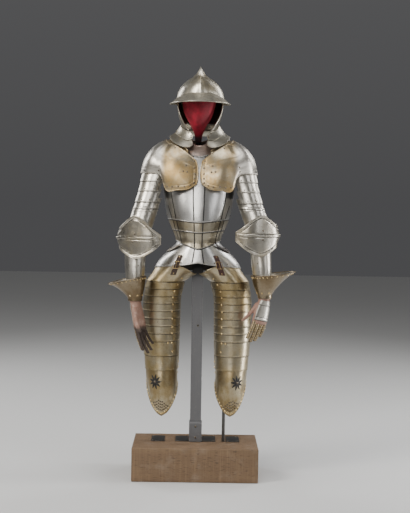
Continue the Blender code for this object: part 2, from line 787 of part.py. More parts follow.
def build_foot(floor):
    """The square sleeve that stands on the block round the post."""
    work = bmesh.new()
    bmesh.ops.create_cube(work, size=1.0)
    open_faces = [face for face in work.faces if abs(face.normal.z) > 0.5]
    bmesh.ops.delete(work, geom=open_faces, context="FACES_ONLY")
    margin = 2 * (FOOT_WALL + SEAT_GAP)
    size = (POST_SIZE[0] + margin, POST_SIZE[1] + margin, FOOT_TOP - floor)
    bmesh.ops.scale(work, vec=size, verts=work.verts)
    bmesh.ops.translate(work, vec=(0.0, POST_BACK, (FOOT_TOP + floor) / 2), verts=work.verts)
    sleeve = place(work, "post_foot", "post_paint")
    thick = sleeve.modifiers.new("wall", "SOLIDIFY")
    thick.thickness = FOOT_WALL
    thick.offset = -1.0
    thick.use_even_offset = True


def build_post(floor):
    """The steel post with the yoke, bars and pegs that carry the armour and the neck rod."""
    post = box(
        "post",
        (*POST_SIZE, POST_TOP - floor),
        (0.0, POST_BACK, (POST_TOP + floor) / 2),
        "post_paint",
    )
    bar_depth, bar_height = YOKE_BAR
    shoulder_bar = box(
        "shoulder_bar",
        (2 * YOKE_REACH, bar_depth, bar_height),
        (0.0, POST_BACK, POST_TOP - bar_height / 2 - YOKE_STEP),
        "post_paint",
    )
    front = torso(0.0, (BREAST_BAR_TOP, -WALL - BAR_GAP_FRONT)).y
    back = torso(180.0, (BREAST_BAR_TOP, -WALL - BAR_GAP_BACK)).y
    breast_bar = box(
        "breast_bar",
        (bar_depth, back - front, bar_height),
        (0.0, (front + back) / 2, BREAST_BAR_TOP - bar_height / 2),
        "post_paint",
    )
    pieces = [shoulder_bar, breast_bar]
    peg_bottom = POST_TOP - bar_height
    for side in SIDES.values():
        pieces.append(box(
            f"shoulder_peg_{side}",
            (*PEG_SIZE, PEG_TOP - peg_bottom),
            (side * PEG_PLACE, PEG_BACK, (PEG_TOP + peg_bottom) / 2),
            "post_paint",
        ))
    neck_top = HEAD_FORM[0].z - SEAT_GAP
    neck = pin(
        "neck_rod",
        Vector((HEAD_CENTRE.x, POST_BACK, NECK_ROD_FOOT)),
        Vector((HEAD_CENTRE.x, POST_BACK, neck_top)),
        NECK_ROD_RADIUS,
    )
    pieces.append(neck)
    for piece in pieces:
        hide_cutter(piece)
    join(post, *pieces)


def hide_cutter(piece):
    """Moves a joined piece to the collection that is not part of the object."""
    piece.hide_render = True
    piece.display_type = "WIRE"
    for holder in list(piece.users_collection):
        holder.objects.unlink(piece)
    collection("joined_pieces").objects.link(piece)


def tube_piece(name, points, radius, look):
    """A round bar along a few points, its ends capped."""
    curve = bpy.data.curves.new(name, "CURVE")
    curve.dimensions = "3D"
    curve.bevel_depth = radius
    curve.bevel_resolution = 2
    curve.resolution_u = 1
    curve.use_fill_caps = True
    line = curve.splines.new("POLY")
    line.points.add(len(points) - 1)
    for point, place_at in zip(line.points, points):
        point.co = (*place_at, 1.0)
    made = bpy.data.objects.new(name, curve)
    curve.materials.append(finish(look))
    collection("suit_of_armour").objects.link(made)
    return made


def build_helmet():
    """Skull with its brim, and on each side a cheek and two neck lames."""
    build_skull()
    for word, side in SIDES.items():
        def cheek(share, rise):
            z = CHEEK_TOP
            for _ in range(3):
                lowest = cheek_low(share, z)
                z = lowest + (CHEEK_TOP - lowest) * rise
            return head(cheek_angle(share, z), (z, 0.0))
        plate(f"cheek_{word}", cheek, spread(0.0, 1.0, 12), spread(0.0, 1.0, 6), HEAD_INSIDE, side)
        plate(
            f"neck_upper_{word}",
            collar,
            spread(NECK_UPPER_START, SEAM_ANGLE, 12),
            NECK_UPPER_ROWS,
            HEAD_INSIDE,
            side,
        )
        plate(
            f"neck_lower_{word}",
            collar,
            spread(NECK_LOWER_START, SEAM_ANGLE, 12),
            NECK_LOWER_ROWS,
            HEAD_INSIDE,
            side,
        )


def cheek_angle(share, z):
    """Angle of a cheek's point, from its front edge to the seam at the nape."""
    heights = [edge.z for edge in CHEEK_EDGE]
    low = min(max(bisect.bisect_right(heights, z) - 1, 0), len(heights) - 2)
    t = (z - heights[low]) / (heights[low + 1] - heights[low])
    first = CHEEK_EDGE[low].degrees + (CHEEK_EDGE[low + 1].degrees - CHEEK_EDGE[low].degrees) * t
    return first + (SEAM_ANGLE - first) * share


def cheek_low(share, z):
    """Height of a cheek's lower edge, just above the collar."""
    around = head(cheek_angle(share, z), (z, 0.0))
    return COLLAR[0].side_z + collar_rise(around.y) + CHEEK_SEAM


def body_plate(name, degrees, top, bottom, rows, top_out=0.0, bottom_out=0.0):
    """A plate of the cuirass between two edges that are functions of the angle."""
    def surface(angle, share):
        z = bottom(angle) + (top(angle) - bottom(angle)) * share
        return torso(angle, (z, bottom_out + (top_out - bottom_out) * share))
    plate(name, surface, degrees, spread(0.0, 1.0, rows), TORSO_INSIDE)


def from_back(degrees):
    """Angle from the middle of the back."""
    return abs(degrees - 180.0)


def build_gorget():
    """Front and back plates of the gorget."""
    shares = spread(0.0, 1.0, 4)
    plate("gorget_front", gorget, spread(-GORGET_SEAM, GORGET_SEAM, 12), shares, GORGET_INSIDE)
    back = spread(180.0 - GORGET_SEAM, 180.0 + GORGET_SEAM, 12)
    plate("gorget_back", gorget, back, shares, GORGET_INSIDE)


def build_cuirass():
    """Breastplate, two belly lames, fauld, backplate and culet."""
    front = spread(-SIDE_SEAM, SIDE_SEAM, 16)
    back = spread(180.0 - SIDE_SEAM, 180.0 + SIDE_SEAM, 16)
    edges = [lambda a, line=line: sloped_edge(a, line[0], line[1]) for line in BELLY_LINES]
    upper, middle, waist = edges
    body_plate("breastplate", front, lambda a: edge_height(BREAST_TOP, a), upper, 9)
    body_plate("belly_lame_1", front, lambda a: upper(a) + LAP, middle, 2, -STEP)
    body_plate("belly_lame_2", front, lambda a: middle(a) + LAP, waist, 3, -STEP)
    body_plate("fauld", front, lambda a: waist(a) + LAP, lambda a: edge_height(FAULD_EDGE, a), 5, -WAIST_TUCK)
    back_waist = BELLY_LINES[2][1]
    body_plate(
        "backplate",
        back,
        lambda a: edge_height(BREAST_TOP, from_back(a)),
        lambda a: back_waist,
        8,
    )
    body_plate(
        "culet",
        back,
        lambda a: back_waist + LAP,
        lambda a: edge_height(CULET_EDGE, from_back(a)),
        5,
        -WAIST_TUCK,
    )


def build_arm(word, side):
    """Pauldron, lames, cannons, couter and gauntlet of one arm."""
    stations = spread(PAULDRON[0].at, PAULDRON[-1].at, 20)
    main_rows = spread(PAULDRON_START, 1.0, 6)
    plate(f"pauldron_{word}", pauldron, stations, main_rows, SHOULDER_INSIDE, side)

    def tucked(station, down):
        share = (SHOULDER_LAME_END - down) / SHOULDER_LAME_END
        return moved_out(pauldron, station, down, -STEP * (1 - share) - SHOULDER_TUCK * share)
    lame_stations = [station for station in stations if station > SHOULDER_LAME_FIRST]
    lame_rows = spread(0.0, SHOULDER_LAME_END, 2)
    plate(f"shoulder_lame_{word}", tucked, lame_stations, lame_rows, SHOULDER_INSIDE, side)

    around = ARM_LAME_FRONTS + list(spread(ARM_LAME_TURN, ARM_LAME_REACH, 12))
    for i, (top, bottom) in enumerate(ARM_LAMES):
        plate(
            f"arm_lame_{i + 1}_{word}",
            upper_arm,
            around[len(ARM_LAMES) - 1 - i:],
            [(top, -STEP), (bottom, 0.0)],
            arm_centre((top + bottom) / 2),
            side,
        )
    circle = spread(0.0, 360.0, 20)
    limb(f"upper_cannon_{word}", upper_arm, circle, UPPER_CANNON, side)
    pivot = Vector((ELBOW.x, ELBOW.y, PIVOT_Z))
    limb(f"lower_cannon_{word}", forearm, circle, LOWER_CANNON, side)
    build_couter(word, side, pivot)
    plate(
        f"cuff_{word}",
        lambda u, v: hung(side, cuff(u, v, side)),
        circle,
        [(ring.z, 0.0) for ring in CUFF],
        hung(side, forearm_centre(CUFF_INSIDE_Z)),
        side,
    )
    build_hand(word, side)


def limb(name, surface, around, rows, side):
    """A closed tube of the arm, hung at its own height."""
    middle = surface(0.0, rows[0]).lerp(surface(180.0, rows[-1]), 0.5)
    plate(name, lambda u, v: hung(side, surface(u, v)), around, rows, hung(side, middle), side)


def build_couter(word, side, pivot):
    """The couter with the rivets that it shares with the two cannons."""
    cop = plate(
        f"couter_{word}",
        lambda u, v: hung(side, couter(u, v)),
        spread(COUTER[0].at, COUTER[-1].at, 16),
        spread(0.0, 1.0, 6),
        hung(side, pivot),
        side,
    )
    forward = elbow_axes()[0]
    lift = Vector((0.0, 0.0, ARM_LIFT[side]))
    rivets = []
    for label, centre, girth in (
        ("lower", pivot, at(FOREARM, PIVOT_Z).radius),
        ("upper", arm_centre(UPPER_RIVET_Z), at(UPPER_ARM, UPPER_RIVET_Z).radius),
    ):
        for way, station in RIVET_STATIONS.items():
            bend = at(COUTER, station)
            wall = couter(station, (centre.z - bend.low) / (bend.top - bend.low))
            reach = abs((wall - centre).dot(forward)) - WALL / 2
            start = centre + forward * way * (girth + PIN_GAPS[label])
            end = centre + forward * way * reach
            name = f"{label}_rivet_{'front' if way > 0 else 'rear'}_{word}"
            rivets.append(pin(name, start + lift, end + lift, RIVET_RADIUS, side))
    join(cop, *rivets)


def build_hand(word, side):
    """The glove with its fingers and the plate on the back of the hand."""
    middle = hung(side, WRIST + HAND_DOWN * PALM_INSIDE)
    glove = solid(
        f"glove_{word}",
        lambda u, v: hung(side, palm(side, u, v)),
        spread(0.0, 360.0, 12),
        [row.along for row in PALM],
        middle,
        side,
        look="glove",
    )
    parts = []
    for row in FINGERS:
        tube_of = finger(side, row)
        piece = solid(
            f"{row.name}_{word}",
            lambda u, v, tube_of=tube_of: hung(side, tube_of(u, v)),
            spread(0.0, 360.0, 6),
            [0.0, 0.02, 0.35, 0.7, 0.98, 1.0],
            hung(side, tube_of(0.0, 0.5)),
            side,
            look="glove",
        )
        hide_cutter(piece)
        parts.append(piece)
    join(glove, *parts)
    plate(
        f"hand_plate_{word}",
        lambda u, v: hung(side, palm(side, u, v, WALL + HAND_GAP)),
        spread(-HAND_PLATE_REACH, HAND_PLATE_REACH, 8),
        HAND_PLATE_ROWS,
        middle,
        side,
    )


def build_leg(word, side):
    """Hip plate, four groups of lames, poleyn and the strap to the fauld."""
    around = spread(LEG_INNER_EDGE, LEG_OUTER_EDGE, 14)
    plate(f"hip_plate_{word}", hip, around, spread(0.0, 1.0, 3), HIP_INSIDE, side)
    for i, (first, last) in enumerate(LAME_GROUPS):
        top = LAME_HEIGHTS[first] + (LAP if first else -HIP_SEAM)
        rows = lapped(top, LAME_HEIGHTS[first + 1:last + 1])
        core = LEG_INSIDE + Vector((0.0, 0.0, (top + rows[-1][0]) / 2))
        plate(f"leg_lames_{i + 1}_{word}", leg, around, rows, core, side)

    def knee(degrees, share):
        top = LAME_HEIGHTS[-1] + LAP
        bottom = edge_height(POLEYN_EDGE, degrees)
        return leg(degrees, (bottom + (top - bottom) * share, -STEP * share))
    plate(f"poleyn_{word}", knee, around, spread(0.0, 1.0, 6), KNEE_INSIDE, side)
    plate(
        f"hip_strap_{word}",
        lambda u, v: moved_out(strap_path, u, v, STRAP_WALL + STRAP_SEAT, STRAP_SLOPE_SPAN),
        [-1.0, 0.0, 1.0],
        spread(*STRAP_ENDS, 6),
        HIP_INSIDE,
        side,
        look="leather",
        wall=STRAP_WALL,
    )


def strap_path(across, down):
    """Point on the armour under the hip strap, down from 0 on the fauld to 1 on the hip plate."""
    turn = STRAP_ANGLE + math.degrees(across * STRAP_HALF_WIDTH / at(TORSO, STRAP_TOP).width)
    edge = edge_height(FAULD_EDGE, turn)
    above = torso(turn, (STRAP_TOP + (edge - STRAP_TOP) * min(down * 2, 1.0), 0.0))
    if down <= 0.5:
        return above
    leg_angle = (turn - HIP_BROW[3].torso_angle) / (HIP_BROW[4].torso_angle - HIP_BROW[3].torso_angle)
    leg_angle = HIP_BROW[3].angle + (HIP_BROW[4].angle - HIP_BROW[3].angle) * leg_angle
    return hip(leg_angle, 1.0 - (down - 0.5) * 2 * STRAP_ON_HIP)


def main():
    """Builds the stand and every plate."""
    for old in list(bpy.data.objects):
        bpy.data.objects.remove(old)
    build_stand()
    build_helmet()
    build_gorget()
    build_cuirass()
    for word, side in SIDES.items():
        build_arm(word, side)
        build_leg(word, side)


main()
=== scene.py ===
"""Suit of plate armour on its display stand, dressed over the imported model.

Every plate is made again from its own curves at a fine pitch, with turned and roped edges,
rivets, ribs and grooves, and each class below makes one sub-assembly of the armour.
"""
import bisect
import logging
import math
from collections import namedtuple
from collections.abc import Callable, Sequence
from dataclasses import dataclass, field
from enum import Enum
from typing import Any

import bmesh
import bpy
from mathutils import Matrix, Vector


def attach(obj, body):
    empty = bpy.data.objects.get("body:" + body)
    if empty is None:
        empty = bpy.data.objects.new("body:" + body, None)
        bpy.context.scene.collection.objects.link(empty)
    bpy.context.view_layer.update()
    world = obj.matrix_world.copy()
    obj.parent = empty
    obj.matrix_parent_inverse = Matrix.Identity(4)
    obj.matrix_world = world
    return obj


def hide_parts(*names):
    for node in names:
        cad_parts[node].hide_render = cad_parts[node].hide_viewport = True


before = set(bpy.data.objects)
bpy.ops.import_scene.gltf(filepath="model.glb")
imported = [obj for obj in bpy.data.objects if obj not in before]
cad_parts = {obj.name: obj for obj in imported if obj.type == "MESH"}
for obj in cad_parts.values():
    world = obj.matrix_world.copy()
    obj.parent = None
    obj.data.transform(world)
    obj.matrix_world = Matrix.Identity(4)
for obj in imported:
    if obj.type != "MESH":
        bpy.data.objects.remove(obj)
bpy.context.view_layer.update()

log = logging.getLogger("armour")
Surface = Callable[[float, Any], Vector]
Colour = tuple[float, float, float]
Pair = tuple[float, float]
Mesh = bmesh.types.BMesh


def rows(fields: str, *values: tuple[Any, ...]) -> tuple[Any, ...]:
    """Table of rows with named fields."""
    return tuple(map(namedtuple("Row", fields)._make, values))


class Side(Enum):
    """The wearer's two sides."""

    LEFT = 1
    RIGHT = -1

    @property
    def word(self) -> str:
        """Name used in the nodes."""
        return self.name.lower()

    @property
    def forearm(self) -> str:
        """Body that the forearm's pieces ride on."""
        return f"forearm_{self.word}"


def math_node(operation: str, flipped: bool = False) -> Callable[["Value", Any], "Value"]:
    """Operator between two values, as a Math node.

    Args:
        operation: The node's operation.
        flipped: Whether the other value comes first.

    Returns:
        The operator.
    """
    def result(value: "Value", other: Any) -> "Value":
        """The node's value."""
        ends = (other, value) if flipped else (value, other)
        return value.look.node("ShaderNodeMath", {"operation": operation}, dict(enumerate(ends)))
    return result


class Value:
    """A socket of a material's nodes, so that sums on it read as Python."""

    def __init__(self, look: "Look", socket: Any) -> None:
        """Keeps the socket and the material it belongs to."""
        self.look = look
        self.socket = socket

    __add__ = __radd__ = math_node("ADD")
    __sub__ = math_node("SUBTRACT")
    __rsub__ = math_node("SUBTRACT", True)
    __mul__ = __rmul__ = math_node("MULTIPLY")
    __pow__ = math_node("POWER")

    def between(self, low: float, high: float) -> "Value":
        """Smooth step of the value.

        Args:
            low: Where it is 0.
            high: Where it is 1.

        Returns:
            A value from 0 to 1.
        """
        return self.look.node(
            "ShaderNodeMapRange",
            {"interpolation_type": "SMOOTHSTEP"},
            {"Value": self, "From Min": low, "From Max": high},
        )


class Look:
    """One material and its nodes."""

    def __init__(self, name: str) -> None:
        """Starts a material with its Principled shader."""
        self.material = bpy.data.materials.new(name)
        self.material.use_nodes = True
        self.tree = self.material.node_tree
        self.shader = self.tree.nodes["Principled BSDF"]

    def node(
        self, kind: str, settings: dict[str, Any] | None = None,
        inputs: dict[Any, Any] | None = None, output: Any = 0,
    ) -> Value:
        """Adds a node.

        Args:
            kind: The node's type.
            settings: Its properties; "stops" fills a colour ramp.
            inputs: Numbers, colours or values by socket.
            output: The socket that is given back.

        Returns:
            The output as a value.
        """
        made = self.tree.nodes.new(kind)
        for key, setting in (settings or {}).items():
            if key == "stops":
                ramp = made.color_ramp
                while len(ramp.elements) < len(setting):
                    ramp.elements.new(1.0)
                for element, (place, colour) in zip(ramp.elements, setting):
                    element.position = place
                    element.color = (*colour, 1.0)
            else:
                setattr(made, key, setting)
        for key, entry in (inputs or {}).items():
            if isinstance(entry, Value):
                self.tree.links.new(entry.socket, made.inputs[key])
            else:
                made.inputs[key].default_value = entry
        return Value(self, made.outputs[output])

    def along(self, axis: str) -> Value:
        """The object's own coordinate along an axis."""
        place = self.node("ShaderNodeTexCoord", output="Object")
        return self.node("ShaderNodeSeparateXYZ", None, {0: place}, axis)

    def noise(self, scale: float, detail: float = 4.0, rough: float = 0.55,
              stretch: Colour = (1.0, 1.0, 1.0), turn: Colour = (0.0, 0.0, 0.0)) -> Value:
        """Noise on the object's own coordinates.

        Args:
            scale: Bumps a metre.
            detail: Finer layers.
            rough: Strength of the finer layers.
            stretch: Scale along each axis.
            turn: Rotation of the pattern, in radians.

        Returns:
            A value from 0 to 1.
        """
        place = self.node("ShaderNodeTexCoord", output="Object")
        place = self.node("ShaderNodeMapping", None, {0: place, "Scale": stretch, "Rotation": turn})
        return self.node(
            "ShaderNodeTexNoise", None,
            {"Vector": place, "Scale": scale, "Detail": detail, "Roughness": rough},
        )

    def mixed(self, share: Any, first: Any, second: Any, blend: str = "MIX") -> Value:
        """Mixes two colours.

        Args:
            share: Share of the second.
            first: First colour or value.
            second: Second colour or value.
            blend: How they mix.

        Returns:
            The mixed colour.
        """
        ends = {6: first, 7: second}
        for key, end in ends.items():
            if not isinstance(end, Value):
                ends[key] = (*end, 1.0)
        return self.node(
            "ShaderNodeMix", {"data_type": "RGBA", "blend_type": blend}, {0: share, **ends}, 2
        )

    def bump(self, height: Value, distance: float, strength: float = 1.0) -> Value:
        """Bump of a height field."""
        return self.node(
            "ShaderNodeBump", None,
            {"Strength": strength, "Distance": distance, "Height": height},
        )

    def set(self, **sockets: Any) -> None:
        """Sets the shader's sockets.

        Args:
            sockets: Values by socket name, underscores for spaces.
        """
        for key, entry in sockets.items():
            socket = self.shader.inputs[key.replace("_", " ")]
            if isinstance(entry, Value):
                self.tree.links.new(entry.socket, socket)
            else:
                socket.default_value = entry


@dataclass(frozen=True)
class Steel:
    """Old polished steel: patina clouds, polishing lines, pits and dirt along its edges."""

    name: str
    bright: Colour
    patina: Colour
    cloud: float = 0.45
    roughness: float = 0.3
    slot: str = ""
    warm_half: float = 9.0

    def material(self) -> bpy.types.Material:
        """Makes the material."""
        look = Look(self.name)
        out = look.along("X") ** 2.0
        clouds = look.noise(7.0, 5.0, 0.6)
        fine = look.noise(55.0, 6.0, 0.65)
        lines = look.noise(30.0, 3.0, 0.7, (1.0, 1.0, 14.0), (0.25, 0.2, 0.3))
        hatch = look.noise(34.0, 3.0, 0.7, (12.0, 12.0, 0.8), (0.5, -0.4, 0.2))
        pits = look.noise(240.0, 2.0, 0.5).between(0.66, 0.74)
        worn = look.node("ShaderNodeAttribute", {"attribute_name": "edge"}, output="Fac")
        dirt = (1.0 - worn.between(0.0, 0.9)) * fine.between(0.25, 0.75)
        stain = (clouds + (fine - 0.5) * 0.35).between(0.62 - self.cloud * 0.4, 0.86 - self.cloud * 0.3)
        dark = tuple(c * 0.26 for c in self.patina)
        colour = look.mixed(stain, self.bright, self.patina)
        colour = look.mixed(out.between((self.warm_half - 0.03) ** 2, self.warm_half ** 2) * 0.9,
                            colour, (0.54, 0.52, 0.48))
        colour = look.mixed(lines.between(0.3, 0.85) * 0.16, colour, dark)
        colour = look.mixed(dirt * 0.6, colour, dark)
        colour = look.mixed(pits * 0.75, colour, dark)
        rough = self.roughness + stain * 0.1 + (fine - 0.5) * 0.18 + (hatch - 0.5) * 0.12
        rough = rough + dirt * 0.18 + pits * 0.25
        beaten = look.noise(17.0, 2.0, 0.4)
        height = beaten * 0.5 + fine * 0.014 + lines * 0.005 + hatch * 0.003 - pits * 0.02
        look.set(Base_Color=colour, Roughness=rough, Metallic=1.0 - dirt * 0.35,
                 Normal=look.bump(height, 0.0032, 0.9))
        return look.material


@dataclass(frozen=True)
class Gilt:
    """Gilt brass of rivet heads and buckles, rubbed dark in its hollows."""

    name: str
    bright: Colour
    dark: Colour
    roughness: float = 0.3
    slot: str = ""

    def material(self) -> bpy.types.Material:
        """Makes the material."""
        look = Look(self.name)
        worn = look.noise(150.0, 4.0).between(0.35, 0.75)
        fine = look.noise(700.0, 3.0)
        look.set(Base_Color=look.mixed(worn, self.bright, self.dark), Metallic=1.0,
                 Roughness=self.roughness + worn * 0.22 + (fine - 0.5) * 0.1,
                 Normal=look.bump(fine, 0.0003, 0.6))
        return look.material


@dataclass(frozen=True)
class Velvet:
    """Cotton velvet with a short pile and a sheen at its turning edges, painted near black below the chin
    as shade.
    """

    name: str
    deep: Colour
    lit: Colour
    slot: str = ""

    def material(self) -> bpy.types.Material:
        """Makes the material."""
        look = Look(self.name)
        nap = look.noise(26.0, 4.0, 0.6).between(0.3, 0.75)
        pile = look.noise(1500.0, 2.0)
        crushed = look.noise(70.0, 3.0)
        # painted shade: below about 1.495 m the velvet turns near black, for the shadow under the chin
        high = look.along("Z").between(1.485, 1.505)
        colour = look.mixed(nap * 0.7 + (pile - 0.5) * 0.5, self.deep, self.lit)
        look.set(Base_Color=look.mixed(high, (0.012, 0.001, 0.002), colour),
                 Roughness=0.78 + (crushed - 0.5) * 0.2,
                 Sheen_Weight=0.75, Sheen_Roughness=0.35, Sheen_Tint=(1.0, 0.12, 0.16, 1.0),
                 Normal=look.bump(crushed * 0.7 + pile * 0.3, 0.0012, 0.7))
        return look.material


@dataclass(frozen=True)
class Leather:
    """Old leather with a pebbled grain, creases and rubbed high places, painted near black as shade below a
    given height.
    """

    name: str
    base: Colour
    rubbed: Colour
    grain: float = 620.0
    roughness: float = 0.55
    slot: str = ""
    shade_below: float = -9.0

    def material(self) -> bpy.types.Material:
        """Makes the material."""
        look = Look(self.name)
        place = look.node("ShaderNodeTexCoord", output="Object")
        high = look.along("Z")
        cells = look.node("ShaderNodeTexVoronoi", {"feature": "DISTANCE_TO_EDGE"},
                          {"Vector": place, "Scale": self.grain}).between(0.0, 0.25)
        creases = look.noise(75.0, 5.0, 0.7)
        rubbed = look.noise(40.0, 5.0, 0.7).between(0.45, 0.8)
        height = cells * 0.35 + creases * 0.65
        colour = look.mixed(rubbed * 0.8 + (cells - 0.5) * 0.15, self.base, self.rubbed)
        # painted shade: near black below the given height, for the glove's fingers that lie in shadow
        light = (high + (creases - 0.5) * 0.03).between(self.shade_below - 0.012, self.shade_below + 0.012)
        look.set(Base_Color=look.mixed(light, (0.045, 0.028, 0.02), colour),
                 Roughness=self.roughness + (creases - 0.5) * 0.35 - rubbed * 0.1,
                 Normal=look.bump(height, 0.0014, 0.9))
        return look.material


@dataclass(frozen=True)
class Oak:
    """Dark sawn oak, its grain along the block, with worn and dusty places."""

    name: str
    dark: Colour
    light: Colour
    roughness: float = 0.6
    slot: str = ""

    def material(self) -> bpy.types.Material:
        """Makes the material."""
        look = Look(self.name)
        boards = look.noise(9.0, 5.0, 0.6, (0.35, 3.0, 3.0))
        grain = look.noise(60.0, 6.0, 0.7, (0.18, 2.0, 2.6))
        pores = look.noise(420.0, 2.0, 0.5, (0.09, 1.0, 1.0)).between(0.58, 0.7)
        dust = look.noise(22.0, 4.0).between(0.5, 0.8)
        saw = look.noise(44.0, 4.0, 0.6, (3.0, 3.0, 0.1), (0.0, 0.03, 0.0))
        colour = look.mixed(boards * 0.35 + grain * 0.35 + saw * 0.3, self.dark, self.light)
        colour = look.mixed(saw.between(0.52, 0.72) * 0.5, colour, self.light)
        colour = look.mixed(pores * 0.7, colour, tuple(c * 0.3 for c in self.dark))
        colour = look.mixed(dust * 0.18, colour, (0.42, 0.36, 0.3))
        height = grain * 0.4 + saw * 0.4 + boards * 0.2 - pores * 0.35
        look.set(Base_Color=colour, Roughness=self.roughness + (grain - 0.5) * 0.3 + dust * 0.1,
                 Normal=look.bump(height, 0.0022, 0.8))
        return look.material


@dataclass(frozen=True)
class Paint:
    """Grey paint on steel, with brush marks, scuffs and bare worn spots, and painted shade, near black,
    above a given height.
    """

    name: str
    coat: Colour
    bare: Colour
    metallic: float = 0.3
    roughness: float = 0.5
    slot: str = ""
    shaded_from: float = 9.0

    def material(self) -> bpy.types.Material:
        """Makes the material."""
        look = Look(self.name)
        high = look.along("Z")
        marks = look.noise(45.0, 5.0, 0.65, (3.0, 3.0, 0.25))
        scuffs = look.noise(130.0, 4.0, 0.7).between(0.6, 0.72)
        cloud = look.noise(12.0, 4.0)
        colour = look.mixed(cloud * 0.5 + (marks - 0.5) * 0.5, self.coat,
                            tuple(min(c * 1.35, 1.0) for c in self.coat))
        colour = look.mixed(scuffs * 0.5, colour, self.bare)
        # painted shade: near black above the given height, where the post runs into the shadow inside the
        # armour
        shade = high.between(self.shaded_from, self.shaded_from + 0.03) * 0.96
        look.set(Base_Color=look.mixed(shade, colour, (0.008, 0.007, 0.006)),
                 Metallic=self.metallic + scuffs * 0.4,
                 Roughness=self.roughness + (marks - 0.5) * 0.25 - scuffs * 0.1,
                 Normal=look.bump(marks * 0.6 + cloud * 0.2, 0.0008, 0.6))
        return look.material


HELMET_STEEL = Steel("helmet_steel", (0.45, 0.42, 0.35), (0.31, 0.26, 0.17), 0.5, 0.31, "helmet_steel")
COOL_STEEL = Steel("breast_steel", (0.54, 0.53, 0.51), (0.4, 0.37, 0.31), 0.35, 0.32, "body_steel")
WING_STEEL = Steel("wing_steel", (0.52, 0.45, 0.32), (0.42, 0.28, 0.115), 0.75, 0.32, "arm_steel", 0.172)
BELLY_STEEL = Steel("belly_steel", (0.48, 0.43, 0.33), (0.36, 0.29, 0.18), 0.5, 0.32, "body_steel")
# gorget steel: its pink tint is painted reflection of the red velvet head form
GORGET_STEEL = Steel("gorget_steel", (0.62, 0.5, 0.44), (0.46, 0.31, 0.25), 0.6, 0.34, "body_steel")
ARM_STEEL = Steel("arm_steel", (0.57, 0.54, 0.48), (0.43, 0.38, 0.29), 0.4, 0.31, "arm_steel")
COUTER_STEEL = Steel("couter_steel", (0.46, 0.43, 0.37), (0.34, 0.29, 0.2), 0.5, 0.3, "arm_steel")
CUFF_STEEL = Steel("cuff_steel", (0.27, 0.22, 0.15), (0.18, 0.13, 0.075), 0.6, 0.3, "gauntlet_steel")
LEG_STEEL = Steel("leg_steel", (0.48, 0.42, 0.3), (0.34, 0.26, 0.13), 0.6, 0.31, "leg_steel")
KNEE_STEEL = Steel("knee_steel", (0.44, 0.38, 0.26), (0.29, 0.215, 0.105), 0.65, 0.3, "leg_steel")
DARK_STEEL = Steel("dark_steel", (0.2, 0.18, 0.15), (0.13, 0.1, 0.07), 0.6, 0.42, "body_steel")
SCALE_BRASS = Gilt("scale_brass", (0.34, 0.27, 0.17), (0.09, 0.07, 0.05), 0.32, "gauntlet_steel")
RIVET_GILT = Gilt("rivet_gilt", (0.86, 0.68, 0.36), (0.42, 0.28, 0.12), 0.26)
BUCKLE_BRASS = Gilt("buckle_brass", (0.46, 0.34, 0.17), (0.16, 0.1, 0.05), 0.34)
RIVET_IRON = Gilt("rivet_iron", (0.2, 0.17, 0.13), (0.08, 0.06, 0.045), 0.4)
# crimson velvet of the head form, painted near black below the chin as shade
CRIMSON = Velvet("crimson_velvet", (0.13, 0.001, 0.008), (0.37, 0.003, 0.024), "velvet")
STRAP = Leather("strap_leather", (0.035, 0.018, 0.011), (0.1, 0.05, 0.03), 700.0, 0.5, "strap_leather")
RED_STRAP = Leather("red_strap", (0.045, 0.013, 0.009), (0.1, 0.036, 0.022), 700.0, 0.5, "strap_leather")
# glove leather, painted near black as shade on the fingers below 0.672 m
GLOVE = Leather("glove_leather", (0.3, 0.165, 0.12), (0.52, 0.37, 0.3), 520.0, 0.62, "glove_leather", 0.672)
OAK = Oak("dark_oak", (0.062, 0.034, 0.017), (0.25, 0.155, 0.08), slot="oak")
# post paint, painted near black above 0.868 m as the shade inside the armour
POST_PAINT = Paint("post_paint", (0.115, 0.115, 0.12), (0.26, 0.25, 0.24), 0.3, 0.42, "post_paint", 0.868)
INLAY_IRON = Paint("inlay_iron", (0.085, 0.082, 0.078), (0.34, 0.3, 0.25), 0.85, 0.36, "inlay_iron")
LINING = Paint("dark_lining", (0.03, 0.026, 0.022), (0.07, 0.055, 0.04), 0.5, 0.5)
# near black: painted shadow along grooves and laps, and also the real black of the knee star
SHADOW_AND_STAR = Paint("painted_shadow_and_star", (0.012, 0.01, 0.008), (0.035, 0.028, 0.02), 0.2, 0.55)
# near black: painted shade inside the post's pin hole
HOLE_SHADE = Paint("painted_hole_shade", (0.01, 0.01, 0.01), (0.02, 0.02, 0.02), 0.0, 0.8)


# Sheet metal and how it laps
WALL = 0.0018
STEP = 0.003
LAP = 0.008
SEAT_GAP = 0.0003
EDGE_SINK = 0.0006
PITCH = 0.007
THIN = (0.0, PITCH, 6)
# flat strip of painted shadow: rope, pitch, faces round it and thickness
SHADOW_STRIP = (0.0, PITCH, 6, 0.25)

# Steps across and along a plate over which its slopes are taken
PLATE_STEPS = (0.5, 0.002)
SHARE_STEPS = (0.5, 0.02)
KNEE_STEPS = (0.5, 0.01)
TORSO_STEPS = (0.4, 0.01)
STATION_STEPS = (0.03, 0.01)

UP = Vector((0.0, 0.0, 1.0))
AHEAD = Vector((0.0, -1.0, 0.0))

